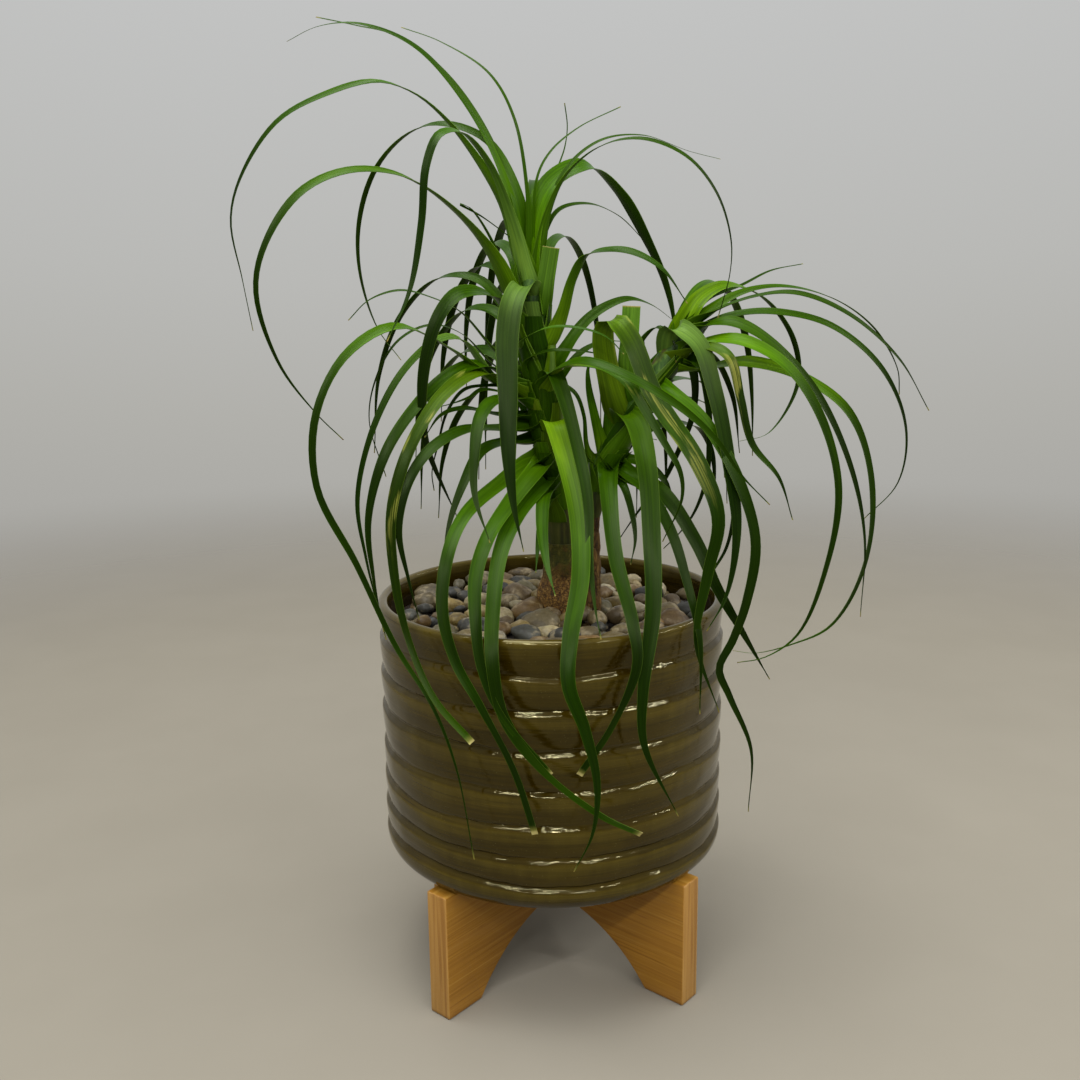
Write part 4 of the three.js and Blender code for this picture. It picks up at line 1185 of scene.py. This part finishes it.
def leafFinish():
    finish = Finish("leaf")
    paint = finish.attribute("paint")
    stripes = finish.attribute("paint", out="Alpha")
    across, along, own = finish.split(finish.attribute("place", out="Vector"))
    cut = finish.attribute("place", out="Alpha")
    strapMap = finish.node("ShaderNodeUVMap", {"uv_map": "strap"})
    apart = finish.node("ShaderNodeCombineXYZ", None, {0: own * 7, 1: own * 3, 2: own})
    shifted = finish.node("ShaderNodeVectorMath", {"operation": "ADD"}, {0: strapMap, 1: apart})
    fibres = finish.grain(shifted, (12, 1400, 1), detail=2, roughness=0.55)
    veins = finish.grain(shifted, (7, 620, 1), detail=1)
    clouds = finish.grain(shifted, (24, 110, 1))
    lit = finish.mix(1, paint, (2.4, 2.1, 1.6, 1), "MULTIPLY")
    tone = finish.mix(finish.remap(fibres, 0.40, 0.70) * 0.35, paint, lit)
    tone = finish.stained(tone, "#5f7a28", veins, 0.55, 0.42, 0.24, "MULTIPLY")
    tone = finish.mix(finish.remap(clouds, 0.54, 0.74) * 0.35, tone, lit)
    tone = finish.stained(tone, "#162e02", clouds, 0.44, 0.28, 0.30)
    # yellow streaks and blotches mark a few leaves
    blotches = finish.grain(shifted, (26, 100, 1))
    bands = finish.grain(shifted, (6, 900, 1), detail=1)
    yellow = finish.remap(blotches, 0.54, 0.62) * finish.remap(bands, 0.30, 0.60) * stripes
    tone = finish.mix(yellow, tone, finish.mix(clouds, colour("#8f9430"), colour("#b5b05c")))
    # a thin pale line follows each edge
    edge = finish.remap(abs(across - 0.5), 0.460, 0.494)
    tone = finish.mix(edge * 0.25, tone, colour("#6f9028"))
    # tips dry to straw and then to brown
    end = along + own * 0.004 + fibres * 0.004
    tone = finish.stained(tone, "#8f8a42", end, 0.984, 1.002, 0.6)
    tone = finish.mix(finish.remap(end, 0.998, 1.006) * (1 - cut) * 0.8, tone, colour("#6d4a26"))
    tone = finish.mix(finish.remap(end, 0.995, 1.002) * cut * 0.7, tone, colour("#b3a56c"))
    return finish.surface({
        "Base Color": tone,
        "Roughness": finish.remap(clouds, 0.3, 0.7, 0.29, 0.38),
        "Normal": finish.bump(veins, 0.00016, 0.35),
        "Specular IOR Level": 0.1,
        "Specular Tint": (0.8, 1, 0.5, 1),
    })


def sheathFinish():
    finish = Finish("leafy stem")
    place = finish.place()
    grain = finish.grain(place, (420, 420, 26))
    patches = finish.noise(place, 60, detail=2)
    tone = finish.ramp(grain, [(0.34, "#1c3404"), (0.52, "#2f5008"), (0.70, "#4f701c")])
    tone = finish.stained(tone, "#5a4018", patches, 0.60, 0.74, 0.6)
    # below the lowest leaves the stem is bare, with an olive skin
    bare = finish.remap(finish.split(place)[2], 0.300, 0.280)
    skin = finish.ramp(grain, [(0.32, "#2c2e0a"), (0.52, "#444612"), (0.72, "#605c26")])
    tone = finish.mix(bare * 0.9, tone, skin)
    return finish.surface({
        "Base Color": tone,
        "Roughness": 0.6,
        "Normal": finish.bump(grain, 0.0005, 0.5),
        "Specular IOR Level": 0.3,
    })


def makeLeafyStem(name, shoot, node):
    # the stem between the leaves: a rod that follows the shoot's line
    rings = core["rings"]
    points = splinePoints(shoot["line"], rings)[0]
    deselectAll()
    bpy.ops.mesh.primitive_cylinder_add(vertices=core["sides"], radius=1, depth=1, location=(0, 0, 0.5),
                                        end_fill_type="TRIFAN")
    bpy.ops.object.transform_apply(location=True)
    piece = named(name)
    bpy.ops.object.mode_set(mode="EDIT")
    for cut in range(1, rings):
        bpy.ops.mesh.select_all(action="SELECT")
        bpy.ops.mesh.bisect(plane_co=(0, 0, cut / rings), plane_no=(0, 0, 1))
    bpy.ops.object.mode_set(mode="OBJECT")

    def grown(co):
        row = min(rings, max(0, round(co.z * rings)))
        middle = points[row]
        radius = coreRadius(shoot, middle.z) * (1 - 0.45 * eased(row / rings, 0.9, 1.0))
        radius *= 0.96 + 0.05 * noise.noise(Vector((co.x, co.y, middle.z * 0.2)) * 2)
        return (middle + Vector((co.x, co.y, 0)) * radius) * mm + potAxis

    moveVertices(piece, grown)
    smooth(piece, 60)
    finished(piece, sheathFinish(), "foliage", node)


def makeShoots():
    straps = gridTemplate("strap", strap["rows"], strap["columns"], strap["thickness"])
    feet = gridTemplate("foot", sheath["rows"], sheath["columns"], strap["thickness"])
    finish = leafFinish()
    for name, shoot in shoots.items():
        chance = random.Random(len(name))
        leaves = shoot["leaves"] + fanLeaves(farLeaves[name])
        pieces = [layLeaf(straps, shoot["line"], blade, chance) for blade in leaves]
        pieces += [layFoot(feet, shoot, blade, chance) for blade in leaves]
        finished(joined(pieces, name + "ShootLeaves"), finish, "foliage", "shoot_" + name)
        makeLeafyStem(name + "ShootStem", shoot, "shoot_" + name)
    bpy.data.objects.remove(straps)
    bpy.data.objects.remove(feet)


makeShoots()


# the floor, the backdrop, the lights and the camera
stage = {
    "floor": "#8b8579",
    "floorSize": 6,
    "floorSolid": 0.7,        # the floor is whole to here, and melts into the backdrop from here on
    "floorGone": 2.0,
    "paler": (0, 0.35, 1),    # the way in which the backdrop grows paler
    "backdrop": [(0.0, "#7c7a76"), (0.32, "#8a8884"), (0.50, "#9f9d99"), (0.62, "#b1b0ab"),
                 (0.68, "#b9b9b6"), (0.82, "#c5c6c6"), (1.0, "#d0d2d2")],
    "lights": [  # where each lamp hangs, the point it looks at, its two sizes and its power
        {"name": "topPanel", "place": (-0.35, -0.2, 1.9), "size": (1.2, 1.0), "power": 27},
        {"name": "longStrip", "place": (0.85, -1.3, 1.62), "size": (3.6, 0.018), "power": 36},
        {"name": "leftStrip", "place": (-0.75, -1.45, 1.6), "size": (0.9, 0.018), "power": 9},
        {"name": "sideStrip", "place": (1.7, 0.5, 1.5), "size": (1.8, 0.03), "power": 9},
    ],
    "lookAt": (0, 0, 0.22),
}
view = {
    "place": (0, -0.6372, 0.3955),  # from the pot's axis on the floor
    "pitch": 12.09,
    "yaw": -0.53,
    "roll": -0.72,
    "focal": 1109.5 / 1080,         # in widths of the square picture
    "sensor": 36,
}


def makeFloor():
    deselectAll()
    bpy.ops.mesh.primitive_circle_add(vertices=96, radius=stage["floorSize"] / 2, fill_type="NGON",
                                      location=(0, 0, -0.2 * mm))
    floor = named("floor")
    finish = Finish("pale floor")
    place = finish.place()
    dust = finish.noise(place, 9, detail=4)
    tone = finish.mix(finish.remap(dust, 0.3, 0.7) * 0.2, colour(stage["floor"]), colour("#807a6e"))
    reach = finish.node("ShaderNodeVectorMath", {"operation": "LENGTH"}, {0: place}, out=1)
    floor.data.materials.append(finish.surface({
        "Base Color": tone,
        "Roughness": 0.8,
        "Specular IOR Level": 0.1,
        "Specular Tint": (0.8, 1, 0.5, 1),
        "Alpha": finish.remap(reach, stage["floorSolid"], stage["floorGone"], 1, 0),
    }))


def makeBackdrop():
    # a soft grey light that grows paler upwards
    studio = Finish("studio backdrop", "worlds")
    way = studio.node("ShaderNodeTexCoord", out="Generated")
    height = studio.node("ShaderNodeVectorMath", {"operation": "DOT_PRODUCT"},
                         {0: way, 1: stage["paler"]}, out="Value")
    part = studio.node("ShaderNodeMapRange", None, {"Value": height, "From Min": -1})
    tone = studio.ramp(part, stage["backdrop"], "LINEAR")
    light = studio.node("ShaderNodeBackground", None, {"Color": tone})
    studio.node("ShaderNodeOutputWorld", None, {"Surface": light}, out=None)
    bpy.context.scene.world = studio.block


def makeLights():
    for spec in stage["lights"]:
        light = bpy.data.lights.new(spec["name"], "AREA")
        light.shape = "RECTANGLE"
        light.size, light.size_y = spec["size"]
        light.energy = spec["power"]
        lamp = bpy.data.objects.new(spec["name"], light)
        lamp.location = spec["place"]
        aim = Vector(stage["lookAt"]) - Vector(spec["place"])
        lamp.rotation_euler = aim.to_track_quat("-Z", "Y").to_euler()
        bpy.context.scene.collection.objects.link(lamp)


def makeCamera():
    camera = bpy.data.cameras.new("photoCamera")
    camera.sensor_width = view["sensor"]
    camera.lens = view["sensor"] * view["focal"]
    camera.clip_start = 0.01
    pitch, yaw, roll = (math.radians(view[key]) for key in ("pitch", "yaw", "roll"))
    forward = Vector((math.sin(yaw) * math.cos(pitch), math.cos(yaw) * math.cos(pitch), -math.sin(pitch)))
    right = forward.cross(Vector((0, 0, 1))).normalized()
    up = right.cross(forward)
    tiltedRight = right * math.cos(roll) + up * math.sin(roll)
    tiltedUp = up * math.cos(roll) - right * math.sin(roll)
    holder = bpy.data.objects.new("photoCamera", camera)
    holder.matrix_world = Matrix.Translation(potAxis + Vector(view["place"])) @ Matrix(
        (tiltedRight, tiltedUp, -forward)).transposed().to_4x4()
    bpy.context.scene.collection.objects.link(holder)
    bpy.context.scene.camera = holder


makeFloor()
makeBackdrop()
makeLights()
makeCamera()
bpy.context.scene.view_settings.view_transform = "Standard"
print("stage, lights and camera are set")

bpy.context.view_layer.update()
